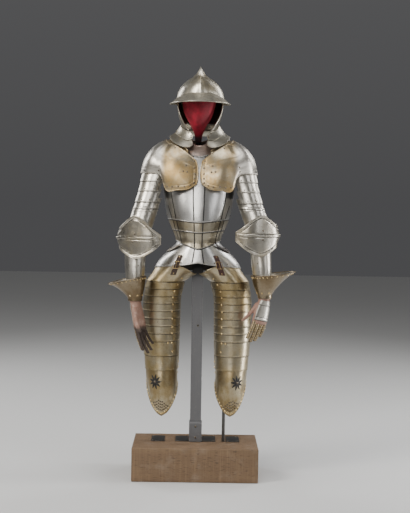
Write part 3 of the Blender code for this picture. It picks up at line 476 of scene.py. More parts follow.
# Rivet heads: radius, height and, where they are not ten, the faces round them
SKULL_RIVET = (0.0027, 0.0016)
NECK_RIVET = (0.0034, 0.0019)
PLATE_RIVET = (0.0032, 0.002)
WING_RIVET = (0.0042, 0.0024)
CANNON_RIVET = (0.0027, 0.0017)
COUTER_RIVET = (0.0044, 0.0026)
CUFF_RIVET = (0.0032, 0.0022)
WRIST_RIVET = (0.0042, 0.0027)
SCALE_RIVET = (0.0018, 0.0014, 8)
LEG_RIVET = (0.0046, 0.0028)
KNEE_RIVET = (0.0042, 0.0028)
KNEE_STUD = (0.004, 0.003, 10)
STAR_BOSS = (0.006, 0.0036, 16)
STRAP_RIVET = (0.0034, 0.0024)
INLAY_NAIL = (0.0034, 0.0016)
FOOT_SCREW = (0.0048, 0.003, 16)
PIN_HOLE = (0.0036, 0.0005, 16)

# Stand
BLOCK_SIZE = (0.548, 0.32, 0.147)
BLOCK_BACK = 0.01
INLAY_SIZE = (0.058, 0.11, 0.003)
INLAY_PLACES = (-0.166, -0.0595, 0.0595, 0.166)
INLAY_BACK = 0.055
POST_SIZE = (0.049, 0.03)
POST_BACK = 0.012
FOOT_WALL = 0.0035
FOOT_TOP = 0.238
PIN_PLACE = (0.004, 0.664)
BUSH_RADIUS = 0.0042
HEAD_CENTRE = Vector((-0.006, 0.004, 0.0))

# Arms
SHOULDER = Vector((0.176, -0.015, 1.345))
ELBOW = Vector((0.27, -0.07, 1.057))
PIVOT_Z = 1.039
WRIST = Vector((0.276, -0.105, 0.795))
ELBOW_TURN = math.radians(35)
ARM_LIFT = {1: 0.009, -1: -0.009}
LIFT_START = 1.2
LIFT_FULL = 1.1
HAND_DOWN = Vector((-0.2, -0.08, -0.975)).normalized()
CUFF_TILT = {1: 0.16, -1: -0.32}
CUFF_REACH = {1: 1.08, -1: 0.62}
ARM_LAME_REACH = 105.0
ARM_LAME_FRONTS = (-114.0, -126.0, -138.0)
ARM_LAMES = ((1.343, 1.294), (1.302, 1.252), (1.26, 1.205))
UPPER_CANNON = ((1.222, -0.0034), (1.203, -0.0029), (1.16, -0.001), (1.11, 0.0), (1.068, 0.0))
LOWER_CANNON = ((1.05, 0.0), (0.98, 0.0), (0.92, 0.0), (0.87, 0.0), (0.83, 0.0), (0.795, 0.0))
HAND_GAP = 0.001
HAND_PLATE_REACH = 62.0
HAND_LENGTH = {1: 1.2, -1: 1.4}
ARM_SWING = {1: 0.015, -1: -0.007}
SWING_START = 0.97
BACK_OF_HAND = {1: math.radians(35), -1: math.radians(122)}

# Outlines of the body plates: half width, front and back depth at each height
TORSO = rows(
    "z width front back",
    (0.88, 0.195, 0.14, 0.155), (0.925, 0.187, 0.146, 0.15), (0.96, 0.166, 0.146, 0.138),
    (1.0, 0.128, 0.142, 0.116), (1.035, 0.099, 0.139, 0.102), (1.08, 0.112, 0.146, 0.106),
    (1.13, 0.133, 0.148, 0.113), (1.2, 0.148, 0.142, 0.121), (1.28, 0.156, 0.128, 0.126),
    (1.36, 0.15, 0.11, 0.122), (1.41, 0.132, 0.096, 0.108),
)
HEAD = rows(
    "z width front back",
    (1.495, 0.074, 0.0865, 0.08), (1.52, 0.078, 0.094, 0.088), (1.545, 0.083, 0.103, 0.098),
    (1.575, 0.092, 0.108, 0.108), (1.61, 0.0985, 0.114, 0.116), (1.64, 0.1005, 0.119, 0.12),
    (1.675, 0.0995, 0.1205, 0.1205),
)
HEAD_FORM = rows(
    "z width front back",
    (1.47, 0.0, 0.0, 0.0), (1.472, 0.012, 0.008, 0.032), (1.5, 0.017, 0.02, 0.046),
    (1.54, 0.034, 0.07, 0.058), (1.58, 0.057, 0.084, 0.07), (1.62, 0.069, 0.087, 0.08),
    (1.66, 0.075, 0.086, 0.084), (1.7, 0.066, 0.076, 0.078), (1.728, 0.048, 0.06, 0.062),
    (1.743, 0.026, 0.034, 0.036), (1.7493, 0.0, 0.0, 0.0),
)

# Helmet skull: half width and half length of each level ring; pinch draws it to a keel
SKULL = rows(
    "z width length pinch",
    (1.661, 0.104, 0.126, 1.05), (1.667, 0.1025, 0.1245, 1.05), (1.686, 0.0975, 0.122, 1.08),
    (1.704, 0.0885, 0.118, 1.15), (1.721, 0.075, 0.112, 1.3), (1.737, 0.057, 0.105, 1.6),
    (1.748, 0.0385, 0.099, 1.9), (1.762, 0.0215, 0.09, 1.9), (1.78, 0.0095, 0.07, 1.6),
    (1.798, 0.0, 0.02, 1.0),
)
SKULL_INSIDE_TOP = 1.75
BRIM_TOP = 1.661
BRIM_END = 106.0
BRIM_FADE = 26.0
BRIM_REACH = 0.03
BRIM_PEAK = 0.044
BRIM_DROP = 0.029
NAPE_REACH = 0.006
NAPE_DROP = 0.024

# The collar that flares from the cheeks to the shoulders, level 0 at its top
COLLAR = rows(
    "level width front back side_z",
    (0.0, 0.0832, 0.0885, 0.099, 1.547), (0.4, 0.096, 0.0985, 0.109, 1.526),
    (0.7, 0.112, 0.11, 0.121, 1.51), (1.0, 0.131, 0.123, 0.136, 1.496),
)
COLLAR_SLOPE = 0.5
COLLAR_SLOPE_BACK = 0.06
NECK_UPPER_ROWS = ((0.0, 0.0006), (0.27, 0.0), (0.55, 0.0))
NECK_LOWER_ROWS = ((0.48, -0.0055), (0.74, -0.0034), (1.0, 0.0))

# Belly edges of the cuirass at the middle and at the sides, from the breast to the waist
WAIST_TUCK = 0.0062
BELLY_LINES = ((1.119, 1.134), (1.076, 1.087), (1.006, 1.04))
TORSO_INSIDE = Vector((0.0, 0.0, 1.15))
HEAD_INSIDE = Vector((0.0, 0.0, 1.56))
GORGET_INSIDE = Vector((0.0, 0.0, 1.42))
HIP_INSIDE = Vector((0.13, 0.0, 0.9))
SHOULDER_CORE = Vector((0.14, 0.0, 1.36))

# Pauldron stations from its front edge over the shoulder to its back edge
PAULDRON = rows(
    "at top_x top_y top_z mid_x mid_y mid_z low_x low_y low_z",
    (0.0, 0.018, -0.118, 1.398, 0.0045, -0.136, 1.338, 0.011, -0.143, 1.286),
    (1.0, 0.05, -0.102, 1.432, 0.05, -0.141, 1.348, 0.05, -0.149, 1.262),
    (2.0, 0.09, -0.066, 1.463, 0.098, -0.137, 1.367, 0.098, -0.144, 1.257),
    (3.0, 0.106, -0.04, 1.475, 0.14, -0.122, 1.38, 0.142, -0.127, 1.257),
    (3.5, 0.113, -0.022, 1.48, 0.164, -0.112, 1.392, 0.166, -0.111, 1.32),
    (4.4, 0.118, 0.002, 1.485, 0.203, -0.077, 1.421, 0.229, -0.075, 1.331),
    (5.4, 0.119, 0.02, 1.487, 0.215, 0.002, 1.434, 0.256, -0.002, 1.331),
    (6.4, 0.117, 0.038, 1.485, 0.198, 0.078, 1.421, 0.225, 0.074, 1.331),
    (7.3, 0.112, 0.056, 1.48, 0.158, 0.114, 1.392, 0.164, 0.115, 1.318),
    (8.2, 0.096, 0.076, 1.468, 0.104, 0.137, 1.368, 0.108, 0.142, 1.272),
    (9.2, 0.06, 0.098, 1.442, 0.042, 0.141, 1.36, 0.046, 0.145, 1.29),
)
SHOULDER_LAME_END = 0.16
SHOULDER_TUCK = 0.003
PAULDRON_START = 0.11

# Upper-arm radius and forearm radius at each height
UPPER_ARM = rows(
    "z radius",
    (1.068, 0.0545), (1.195, 0.057), (1.27, 0.0615), (1.305, 0.067), (1.345, 0.0725),
)
FOREARM = rows(
    "z radius",
    (0.795, 0.0285), (0.83, 0.0315), (0.87, 0.0372), (0.92, 0.0427), (0.98, 0.0455), (1.05, 0.049),
)

# Couter stations round the elbow: b runs outwards, a forwards; edge draws its rims in
COUTER = rows(
    "at b a low top edge",
    (0.0, -0.134, 0.0, 1.034, 1.072, 1.0), (1.0, -0.114, 0.034, 1.003, 1.099, 0.98),
    (2.0, -0.08, 0.055, 0.98, 1.133, 0.96), (3.0, -0.04, 0.064, 0.972, 1.15, 0.96),
    (4.0, 0.0, 0.066, 0.986, 1.131, 0.95), (5.0, 0.04, 0.062, 1.006, 1.107, 0.92),
    (6.0, 0.072, 0.044, 1.018, 1.102, 0.84), (7.0, 0.09, 0.01, 1.018, 1.1, 0.76),
    (8.0, 0.087, -0.032, 1.014, 1.1, 0.82), (9.0, 0.056, -0.066, 1.008, 1.1, 0.93),
    (10.0, -0.024, -0.079, 1.016, 1.094, 0.98),
)

# Gauntlet cuff: radius outwards, forwards and inwards at each height
CUFF = rows(
    "z outer front inner",
    (0.788, 0.0302, 0.0302, 0.0302), (0.8, 0.0318, 0.0316, 0.0315), (0.815, 0.041, 0.038, 0.035),
    (0.845, 0.074, 0.052, 0.042), (0.868, 0.106, 0.064, 0.0455), (0.886, 0.14, 0.074, 0.0475),
)

# Palm of the glove along the hand, and its fingers across the knuckles
PALM = rows(
    "along width thickness",
    (-0.025, 0.0, 0.0), (-0.023, 0.015, 0.015), (0.0, 0.0254, 0.0244), (0.012, 0.0258, 0.0215),
    (0.04, 0.034, 0.0185), (0.08, 0.038, 0.016), (0.098, 0.034, 0.013), (0.104, 0.0, 0.0),
)
FINGERS = rows(
    "name across start length radius spread curl sink",
    ("little", -0.0265, 0.082, 0.068, 0.0078, -0.1, 0.3, 0.0),
    ("ring", -0.0095, 0.086, 0.082, 0.0086, -0.03, 0.26, 0.0),
    ("middle", 0.0085, 0.086, 0.088, 0.009, 0.03, 0.22, 0.0),
    ("index", 0.0265, 0.082, 0.08, 0.0088, 0.09, 0.18, 0.0),
    ("thumb", 0.023, 0.025, 0.088, 0.0105, 0.42, 0.34, 0.008),
)

# Thigh and knee: centre line, half width and front and back depth at each height
LEG = rows(
    "z centre width front back",
    (0.272, 0.15, 0.058, 0.056, 0.04), (0.315, 0.149, 0.063, 0.074, 0.048),
    (0.355, 0.1485, 0.0655, 0.086, 0.054), (0.4, 0.15, 0.0675, 0.096, 0.058),
    (0.44, 0.1525, 0.0705, 0.094, 0.064), (0.48, 0.154, 0.0735, 0.088, 0.068),
    (0.54, 0.1555, 0.0775, 0.085, 0.072), (0.62, 0.158, 0.082, 0.086, 0.076),
    (0.7, 0.158, 0.083, 0.09, 0.078), (0.78, 0.156, 0.083, 0.096, 0.08),
    (0.825, 0.149, 0.084, 0.101, 0.082), (0.872, 0.138, 0.086, 0.108, 0.084),
)
LEG_INNER_EDGE = -96.0
LEG_OUTER_EDGE = 118.0
LAME_HEIGHTS = (0.862, 0.83, 0.798, 0.766, 0.733, 0.7, 0.667, 0.634, 0.6, 0.536, 0.474)
LAME_GROUPS = ((0, 3), (3, 6), (6, 8), (8, 10))

# Lower edges and upper edges of plates, by the angle from the middle of the front or back
POLEYN_EDGE = rows(
    "degrees z",
    (0.0, 0.272), (20.0, 0.286), (39.0, 0.313), (64.0, 0.357), (90.0, 0.4), (118.0, 0.44),
)
BREAST_TOP = rows(
    "degrees z",
    (0.0, 1.4), (22.0, 1.41), (40.0, 1.41), (55.0, 1.37), (70.0, 1.305), (82.0, 1.262), (90.0, 1.25),
)
FAULD_EDGE = rows(
    "degrees z",
    (0.0, 0.948), (20.0, 0.938), (45.0, 0.93), (70.0, 0.925), (90.0, 0.92),
)
CULET_EDGE = rows(
    "degrees z",
    (0.0, 0.895), (45.0, 0.903), (90.0, 0.92),
)

# Upper edge of the hip plate, hung below the fauld's lower edge
HIP_BROW = rows(
    "angle torso_angle drop out",
    (-96.0, 2.0, 0.049, -0.043), (-70.0, 7.0, 0.042, -0.02), (-45.0, 16.0, 0.018, -0.004),
    (-20.0, 28.0, 0.0026, 0.0), (15.0, 42.0, 0.0026, 0.0), (50.0, 55.0, 0.0026, 0.0),
    (85.0, 67.0, 0.0026, 0.0), (118.0, 80.0, 0.0026, 0.0),
)
BROW_GAP = 0.0026
HIP_SEAM = 0.0006
STRAP_ANGLE = 30.0
STRAP_HALF_WIDTH = 0.009
STRAP_WALL = 0.0026
STRAP_TOP = 0.985
STRAP_SEAT = 0.0008
STRAP_ON_HIP = 0.6

# Front edge of the cheeks, by height
CHEEK_EDGE = rows(
    "degrees z",
    (22.0, 1.495), (42.0, 1.52), (58.0, 1.55), (69.0, 1.585), (75.0, 1.62), (78.0, 1.655), (79.0, 1.672),
)
CHEEK_TOP = 1.666
CHEEK_SEAM = 0.0006
SEAM_ANGLE = 179.7
SIDE_SEAM = 89.8
GORGET_SEAM = 89.6

# The gorget round the neck, share 0 at its top
GORGET = rows(
    "share width front back side_z dip",
    (0.0, 0.07, 0.074, 0.078, 1.505, 0.056), (0.6, 0.083, 0.088, 0.093, 1.476, 0.055),
    (1.0, 0.104, 0.1, 0.11, 1.452, 0.066),
)

def at(table: Sequence[Any], key: float) -> Any:
    """The table's row at a key between its rows, on smooth curves through them.

    Args:
        table: rows whose first field is the key, in rising order.
        key: where to read it.

    Returns:
        A row of the same kind.
    """
    keys = [row[0] for row in table]
    key = min(max(key, keys[0]), keys[-1])
    low = min(bisect.bisect_right(keys, key) - 1, len(keys) - 2)
    span = keys[low + 1] - keys[low]
    t = (key - keys[low]) / span
    values = []
    for column in zip(*table):
        slopes = []
        for i in (low, low + 1):
            before, after = max(i - 1, 0), min(i + 1, len(keys) - 1)
            slopes.append((column[after] - column[before]) / (keys[after] - keys[before]) * span)
        rise = column[low + 1] - column[low]
        bend_in, bend_out = slopes[0] - rise, rise - slopes[1]
        values.append(column[low] + t * rise + t * (1 - t) * ((1 - t) * bend_in + t * bend_out))
    return type(table[0])(*values)


def linear(table: Sequence[Pair], key: float) -> float:
    """Value at a key, on straight lines through (key, value) rows in rising order.

    Args:
        table: the rows.
        key: where to read it; the end lines run on outside the rows.

    Returns:
        The value.
    """
    low = min(max(bisect.bisect_right([row[0] for row in table], key) - 1, 0), len(table) - 2)
    (first, start), (last, end) = table[low], table[low + 1]
    return start + (end - start) * ((key - first) / (last - first))


def spread(first: float, last: float, count: int) -> list[float]:
    """Evenly spaced values from first to last, count gaps between them."""
    return [first + (last - first) * i / count for i in range(count + 1)]


def level(first: float, last: float, count: int, height: float) -> list[Pair]:
    """Evenly spaced places along a plate at one height or share."""
    return [(place, height) for place in spread(first, last, count)]


def oval(
    width: float, front: float, back: float, degrees: float, out: float = 0.0
) -> Pair:
    """Point on a level oval, angle 0 at the front and 90 on the wearer's left.

    Args:
        width: half width.
        front: depth ahead.
        back: depth behind.
        degrees: angle.
        out: distance outside the oval.

    Returns:
        X and y.
    """
    turn = math.radians(degrees)
    depth = front if math.cos(turn) > 0 else back
    return (width + out) * math.sin(turn), -(depth + out) * math.cos(turn)


def edge_height(table: Sequence[Any], degrees: float) -> float:
    """Height of a plate's edge at an angle either way from its middle."""
    return at(table, abs(degrees)).z


def hung(side: int, point: Vector) -> Vector:
    """A point of the arm, raised or lowered with its elbow and swung to its own side below it.

    Args:
        side: 1 for the wearer's left, -1 for the right.
        point: point of the arm.

    Returns:
        The point at its own arm's height.
    """
    share = min(max((LIFT_START - point.z) / (LIFT_START - LIFT_FULL), 0.0), 1.0)
    swing = min(max((SWING_START - point.z) / (SWING_START - WRIST.z), 0.0), 1.0) ** 1.5
    return point + Vector((ARM_SWING[side] * swing, 0.0, ARM_LIFT[side] * share))


def shell(table: Sequence[Any]) -> Surface:
    """Surface of level ovals.

    Args:
        table: The ovals by height.

    Returns:
        Its points by an angle and a (height, out) row.
    """
    def surface(degrees: float, row: Pair) -> Vector:
        """Point at an angle and a (height, out) row."""
        oval_at = at(table, row[0])
        x, y = oval(oval_at.width, oval_at.front, oval_at.back, degrees, row[1])
        return Vector((getattr(oval_at, "centre", 0.0) + x, y, row[0]))
    return surface


torso, head, leg = shell(TORSO), shell(HEAD), shell(LEG)


def sloped_edge(degrees: float, middle: float, side: float) -> float:
    """Height of a belly edge that dips to a point at the front."""
    return middle + (side - middle) * abs(math.sin(math.radians(degrees))) ** 1.1


def collar(degrees: float, row: Pair) -> Vector:
    """Point of the sloping collar at an angle and a (level, out) row.

    Args:
        degrees: angle from the front.
        row: level and distance out.

    Returns:
        The point.
    """
    level, out = row
    ring = at(COLLAR, level)
    x, y = oval(ring.width, ring.front, ring.back, degrees, out)
    return Vector((x, y, ring.side_z + collar_rise(y)))


def collar_rise(y: float) -> float:
    """How far the collar's edges rise above their side height, down at the front."""
    return y * (COLLAR_SLOPE if y < 0 else COLLAR_SLOPE_BACK)


def skull(degrees: float, z: float, inwards: float = 0.0) -> Vector:
    """Point of the helmet's skull at an angle and a height.

    Args:
        degrees: angle from the front.
        z: height.
        inwards: distance inside.

    Returns:
        The point.
    """
    ring = at(SKULL, z)
    turn = math.radians(degrees)
    width, length = max(ring.width - inwards, 0.0), ring.length - inwards
    side = math.copysign(abs(math.sin(turn)) ** ring.pinch, math.sin(turn))
    return Vector((width * side, -length * math.cos(turn), z))


def helmet(degrees: float, row: float) -> Vector:
    """Point of the helmet's outside: below 0 the brim, at -1 its rim; above 0 a skull height.

    Args:
        degrees: angle from the front.
        row: height, or 0 to -1 across the brim.

    Returns:
        The point.
    """
    if row > 0:
        return skull(degrees, row)
    turn = math.radians(degrees)
    share = -row
    root = skull(degrees, BRIM_TOP)
    way = Vector((root.x, root.y, 0.0)).normalized()
    away = abs((degrees + 180.0) % 360.0 - 180.0)
    fade = min(max((BRIM_END - away) / BRIM_FADE, 0.0), 1.0)
    front = max(math.cos(turn), 0.0) ** 2.5
    reach = fade * (BRIM_REACH + BRIM_PEAK * front) + (1 - fade) * NAPE_REACH
    drop = BRIM_DROP * fade + NAPE_DROP * (1 - fade)
    return root + way * reach * share ** 1.6 - Vector((0.0, 0.0, drop * share ** 0.8))


def pauldron(station: float, down: float) -> Vector:
    """Point of the pauldron: station along it, down from 0 at the neck to 1 at its lower edge.

    Args:
        station: place from the front edge to the back edge.
        down: share from the neck to the lower edge.

    Returns:
        The point.
    """
    row = at(PAULDRON, station)
    top = Vector((row.top_x, row.top_y, row.top_z))
    middle = Vector((row.mid_x, row.mid_y, row.mid_z))
    low = Vector((row.low_x, row.low_y, row.low_z))
    bulge = middle - (top + low) / 2
    return top.lerp(low, down) + bulge * 4 * down * (1 - down)


def moved_out(surface: Surface, u: float, v: float, distance: float, span: float = 0.02) -> Vector:
    """A surface's point moved along its normal, away from the arm's own centre line.

    Args:
        surface: the plate.
        u: its first place.
        v: its second place.
        distance: how far out.
        span: step for the slopes.

    Returns:
        The point.
    """
    across = surface(u + span, v) - surface(u - span, v)
    down = surface(u, v + span) - surface(u, v - span)
    return surface(u, v) + across.cross(down).normalized() * -distance


def arm_centre(z: float) -> Vector:
    """Centre line of the upper arm at a height."""
    return SHOULDER.lerp(ELBOW, (SHOULDER.z - z) / (SHOULDER.z - ELBOW.z))


def forearm_centre(z: float) -> Vector:
    """Centre line of the forearm at a height."""
    pivot = Vector((ELBOW.x, ELBOW.y, PIVOT_Z))
    return pivot.lerp(WRIST, (PIVOT_Z - z) / (PIVOT_Z - WRIST.z))


def tube(centre: Callable[[float], Vector], girths: Sequence[Any]) -> Surface:
    """Surface of a limb tube: angle 0 outwards and -90 forwards, then a (height, out) row.

    Args:
        centre: the limb's centre line.
        girths: its radius at each height.

    Returns:
        The surface.
    """
    def surface(degrees: float, row: Pair) -> Vector:
        """Point of the limb at an angle and a (height, out) row."""
        z, out = row
        radius = at(girths, z).radius + out
        turn = math.radians(degrees)
        return centre(z) + Vector((radius * math.cos(turn), radius * math.sin(turn), 0.0))
    return surface


upper_arm = tube(arm_centre, UPPER_ARM)
forearm = tube(forearm_centre, FOREARM)


def elbow_axes() -> tuple[Vector, Vector]:
    """Forward axis of the elbow's rivets and the outward direction square to it.

    Returns:
        The two directions.
    """
    forward = Vector((math.sin(ELBOW_TURN), -math.cos(ELBOW_TURN), 0.0))
    outward = Vector((math.cos(ELBOW_TURN), math.sin(ELBOW_TURN), 0.0))
    return forward, outward


def couter(station: float, share: float) -> Vector:
    """Point of the couter: station round the elbow, share from its lower edge to its upper.

    Args:
        station: place round the elbow.
        share: share from the lower edge up.

    Returns:
        The point.
    """
    bend = at(COUTER, station)
    forward, outward = elbow_axes()
    z = bend.low + (bend.top - bend.low) * share
    rise = (z - ELBOW.z) / (bend.top - ELBOW.z if z > ELBOW.z else ELBOW.z - bend.low)
    pull = 1 - (1 - bend.edge) * abs(rise) ** 1.25
    flat = (outward * bend.b + forward * bend.a) * pull
    return Vector((ELBOW.x, ELBOW.y, z)) + flat


def cuff(degrees: float, row: Pair, side: int) -> Vector:
    """Point of the gauntlet's cuff, its outer rim tilted and drawn out for its side.

    Args:
        degrees: angle from outwards.
        row: height and distance out.
        side: 1 for the wearer's left, -1 for the right.

    Returns:
        The point.
    """
    z, out = row
    ring = at(CUFF, z)
    turn = math.radians(degrees)
    outwards = max(math.cos(turn), 0.0) ** 1.4 * CUFF_REACH[side]
    inwards = max(-math.cos(turn), 0.0) ** 1.4
    radius = ring.front + (ring.outer - ring.front) * outwards + (ring.inner - ring.front) * inwards
    lift = CUFF_TILT[side] * math.cos(turn) * (radius - CUFF[0].front)
    flat = Vector((math.cos(turn), math.sin(turn), 0.0)) * (radius + out)
    return forearm_centre(z) + flat + Vector((0.0, 0.0, lift))


def hand_frame(side: int) -> tuple[Vector, Vector, Vector]:
    """Down the hand, across it to the thumb, and out of its back.

    Args:
        side: 1 left, -1 right.

    Returns:
        The three directions.
    """
    turn = BACK_OF_HAND[side]
    back = Vector((math.sin(turn), -math.cos(turn), 0.0))
    back = (back - HAND_DOWN * back.dot(HAND_DOWN)).normalized()
    return HAND_DOWN, HAND_DOWN.cross(back), back


def palm(side: int, degrees: float, along: float, out: float = 0.0) -> Vector:
    """Point of the glove's palm, angle 0 on the back of the hand.

    Args:
        side: 1 left, -1 right.
        degrees: angle from the back of the hand.
        along: metres from the wrist.
        out: distance out.

    Returns:
        The point.
    """
    down, across, back = hand_frame(side)
    section = at(PALM, along)
    turn = math.radians(degrees)
    width = (section.width + out) * math.sin(turn)
    depth = (section.thickness + out) * math.cos(turn)
    reach = along * (HAND_LENGTH[side] if along > 0 else 1.0)
    return WRIST + down * reach + across * width + back * depth


def finger(side: int, row: Any) -> Surface:
    """Surface of one finger: a tapered tube that curls towards the palm.

    Args:
        side: 1 left, -1 right.
        row: the finger's sizes.

    Returns:
        Its surface.
    """
    down, across, back = hand_frame(side)
    stretch = HAND_LENGTH[side]
    root = WRIST + down * row.start * stretch + across * row.across - back * row.sink

    def surface(degrees: float, share: float) -> Vector:
        """Point of the finger at an angle and a share of its length."""
        length = row.length * share * stretch
        lean = row.curl * share
        centre = root + (down + across * row.spread - back * lean).normalized() * length
        radius = row.radius * (1 - 0.25 * share) * (0.0 if share in (0.0, 1.0) else 1.0)
        turn = math.radians(degrees)
        side_way = down.cross(back).normalized()
        return centre + side_way * radius * math.cos(turn) + back * radius * math.sin(turn)
    return surface


def hip(degrees: float, share: float) -> Vector:
    """Point of the hip plate: share 0 at its lower edge, 1 at the brow under the fauld.

    Args:
        degrees: angle from the front.
        share: share from its lower edge up.

    Returns:
        The point.
    """
    brow = at(HIP_BROW, degrees)
    drop = max(brow.drop, BROW_GAP)
    low = leg(degrees, (LAME_HEIGHTS[0], 0.0))
    height = edge_height(FAULD_EDGE, brow.torso_angle) - drop
    return low.lerp(torso(brow.torso_angle, (height, brow.out)), share)


def gorget(degrees: float, share: float) -> Vector:
    """Point of the gorget at an angle, from its neck at share 0 to its skirt at 1.

    Args:
        degrees: angle from the front.
        share: share from the neck down.

    Returns:
        The point.
    """
    ring = at(GORGET, share)
    x, y = oval(ring.width, ring.front, ring.back, degrees)
    front = math.cos(math.radians(degrees))
    dip = ring.dip * (1.0 if front > 0 else 0.55 + 0.45 * share)
    return Vector((x, y, ring.side_z - dip * front ** 2))


def thigh(degrees: float, z: float) -> Vector:
    """Point of the thigh plates' outside at an angle and a height."""
    return leg(degrees, (z, 0.0))


def cheek_angle(share: float, z: float) -> float:
    """Angle of a cheek's point, from its front edge to the seam at the nape.

    Args:
        share: share from the front edge back.
        z: height.

    Returns:
        Angle in degrees.
    """
    first = linear([(edge.z, edge.degrees) for edge in CHEEK_EDGE], z)
    return first + (SEAM_ANGLE - first) * share


def cheek_low(share: float, z: float) -> float:
    """Height of a cheek's lower edge, just above the collar."""
    around = head(cheek_angle(share, z), (z, 0.0))
    return COLLAR[0].side_z + collar_rise(around.y) + CHEEK_SEAM


def from_back(degrees: float) -> float:
    """Angle from the middle of the back."""
    return abs(degrees - 180.0)


def strap_path(across: float, down: float) -> Vector:
    """Point on the armour under the hip strap, down from 0 on the fauld to 1 on the hip plate.

    Args:
        across: share from its middle line.
        down: share from its upper end.

    Returns:
        The point.
    """
    turn = STRAP_ANGLE + math.degrees(across * STRAP_HALF_WIDTH / at(TORSO, STRAP_TOP).width)
    edge = edge_height(FAULD_EDGE, turn)
    above = torso(turn, (STRAP_TOP + (edge - STRAP_TOP) * min(down * 2, 1.0), 0.0))
    if down <= 0.5:
        return above
    leg_angle = (turn - HIP_BROW[3].torso_angle) / (HIP_BROW[4].torso_angle - HIP_BROW[3].torso_angle)
    leg_angle = HIP_BROW[3].angle + (HIP_BROW[4].angle - HIP_BROW[3].angle) * leg_angle
    return hip(leg_angle, 1.0 - (down - 0.5) * 2 * STRAP_ON_HIP)


def sheet(surface: Surface, across: Sequence[Any], along: Sequence[Any],
          fade: float = 0.009) -> Mesh:
    """An open sheet: a flat grid whose points are moved onto a surface, its seams welded.

    Args:
        surface: The surface.
        across: Its first places.
        along: Its second places.
        fade: Metres over which the "edge" attribute rises from 0 at an open edge to 1.

    Returns:
        The mesh.
    """
    work = bmesh.new()
    columns, rows = len(across) - 1, len(along) - 1
    marks = work.verts.layers.float.new("edge")
    bmesh.ops.create_grid(work, x_segments=columns, y_segments=rows, size=0.5)
    points = [[surface(u, v) for v in along] for u in across]
    closed = (points[0][0] - points[-1][0]).length < 1e-5
    for vert in work.verts:
        i, j = round((vert.co.x + 0.5) * columns), round((vert.co.y + 0.5) * rows)
        vert.co = points[i][j]
        ends = [points[i][0], points[i][-1]]
        if not closed:
            ends += [points[0][j], points[-1][j]]
        vert[marks] = min(min((vert.co - end).length for end in ends) / fade, 1.0)
    bmesh.ops.remove_doubles(work, verts=work.verts, dist=1e-5)
    return work


def facing(surface: Surface, u: float, v: float, core: Vector,
           steps: Pair = PLATE_STEPS) -> tuple[Vector, Vector]:
    """A surface's point and its normal away from a core point.

    Args:
        surface: The surface.
        u: First place.
        v: Second place.
        core: Point on its inner side.
        steps: Steps for its slopes.

    Returns:
        The point and the normal.
    """
    here = surface(u, v)
    across = surface(u + steps[0], v) - surface(u - steps[0], v)
    down = surface(u, v + steps[1]) - surface(u, v - steps[1])
    normal = across.cross(down).normalized()
    return here, (normal if normal.dot(here - core) > 0 else -normal)


def proud(surface: Surface, relief: Callable[[float, float], float], core: Vector,
          steps: Pair = PLATE_STEPS) -> Surface:
    """A surface with a relief worked into it.

    Args:
        surface: The plain surface.
        relief: Height over it at each place.
        core: Point on its inner side.
        steps: Steps for its slopes.

    Returns:
        The worked surface.
    """
    def raised(u: float, v: float) -> Vector:
        """Point of the worked surface."""
        here, normal = facing(surface, u, v, core, steps)
        return here + normal * relief(u, v)
    return raised


def ridge(distance: float, width: float) -> float:
    """Rounded ridge of height 1 over a distance from its line."""
    return math.exp(-((distance / width) ** 2))


def step(value: float, low: float, high: float) -> float:
    """Smooth step from 0 at low to 1 at high."""
    share = min(max((value - low) / (high - low), 0.0), 1.0)
    return share * share * (3 - 2 * share)


def rounded(turn: float, power: float) -> Pair:
    """Point on a square of half width 1, the rounder the higher its power."""
    return tuple(math.copysign(abs(part) ** power, part) for part in (math.cos(turn), math.sin(turn)))


def joined(pieces: Sequence[Mesh]) -> Mesh:
    """Pours several meshes into the first of them.

    Args:
        pieces: The meshes; all but the first are freed.

    Returns:
        The first.
    """
    for piece in pieces[1:]:
        spare = bpy.data.meshes.new("spare")
        piece.to_mesh(spare)
        piece.free()
        pieces[0].from_mesh(spare)
        bpy.data.meshes.remove(spare)
    return pieces[0]


def rolled(points: Sequence[Vector], outs: Sequence[Vector], radius: float, rope: float = 0.0,
           pitch: float = PITCH, around: int = 8, flat: float = 1.0) -> Mesh:
    """A turned edge or wire along a line, roped like a cord where rope is over 0.

    Args:
        points: The line; closed where its ends meet.
        outs: Direction out of the plate at each point.
        radius: Its radius.
        rope: Depth of the strands, as a share of the radius.
        pitch: Metres from strand to strand.
        around: Faces round it.
        flat: Its thickness against its width.

    Returns:
        The mesh.
    """
    closed = (points[0] - points[-1]).length < 1e-5
    last = len(points) - 1
    run, marks = 0.0, []
    frames = []
    for i, point in enumerate(points):
        before = points[i - 1] if i else (points[last - 1] if closed else points[0])
        after = points[i + 1] if i < last else (points[1] if closed else points[last])
        tangent = (after - before).normalized()
        out = (outs[i] - tangent * outs[i].dot(tangent)).normalized()
        frames.append((point, tangent.cross(out), out))
        run += (point - points[i - 1]).length if i else 0.0
        marks.append(run)
    turns = max(round(run / pitch), 1) / run if run else 0.0

    def skin(place: float, degrees: float) -> Vector:
        """Point of the roll at a place along it and an angle round it."""
        i = min(max(round(place), 0), last)
        point, side, out = frames[i]
        angle = math.radians(degrees)
        size = radius * (1 + rope * math.cos(2 * math.pi * marks[i] * turns + angle))
        size *= 0.0 if not closed and (place < 0 or place > last) else 1.0
        return point + side * size * math.cos(angle) + out * size * math.sin(angle) * flat

    places = list(range(last + 1)) if closed else [-1, *range(last + 1), last + 1]
    work = sheet(skin, places, spread(0.0, 360.0, around))
    bmesh.ops.recalc_face_normals(work, faces=work.faces)
    return work


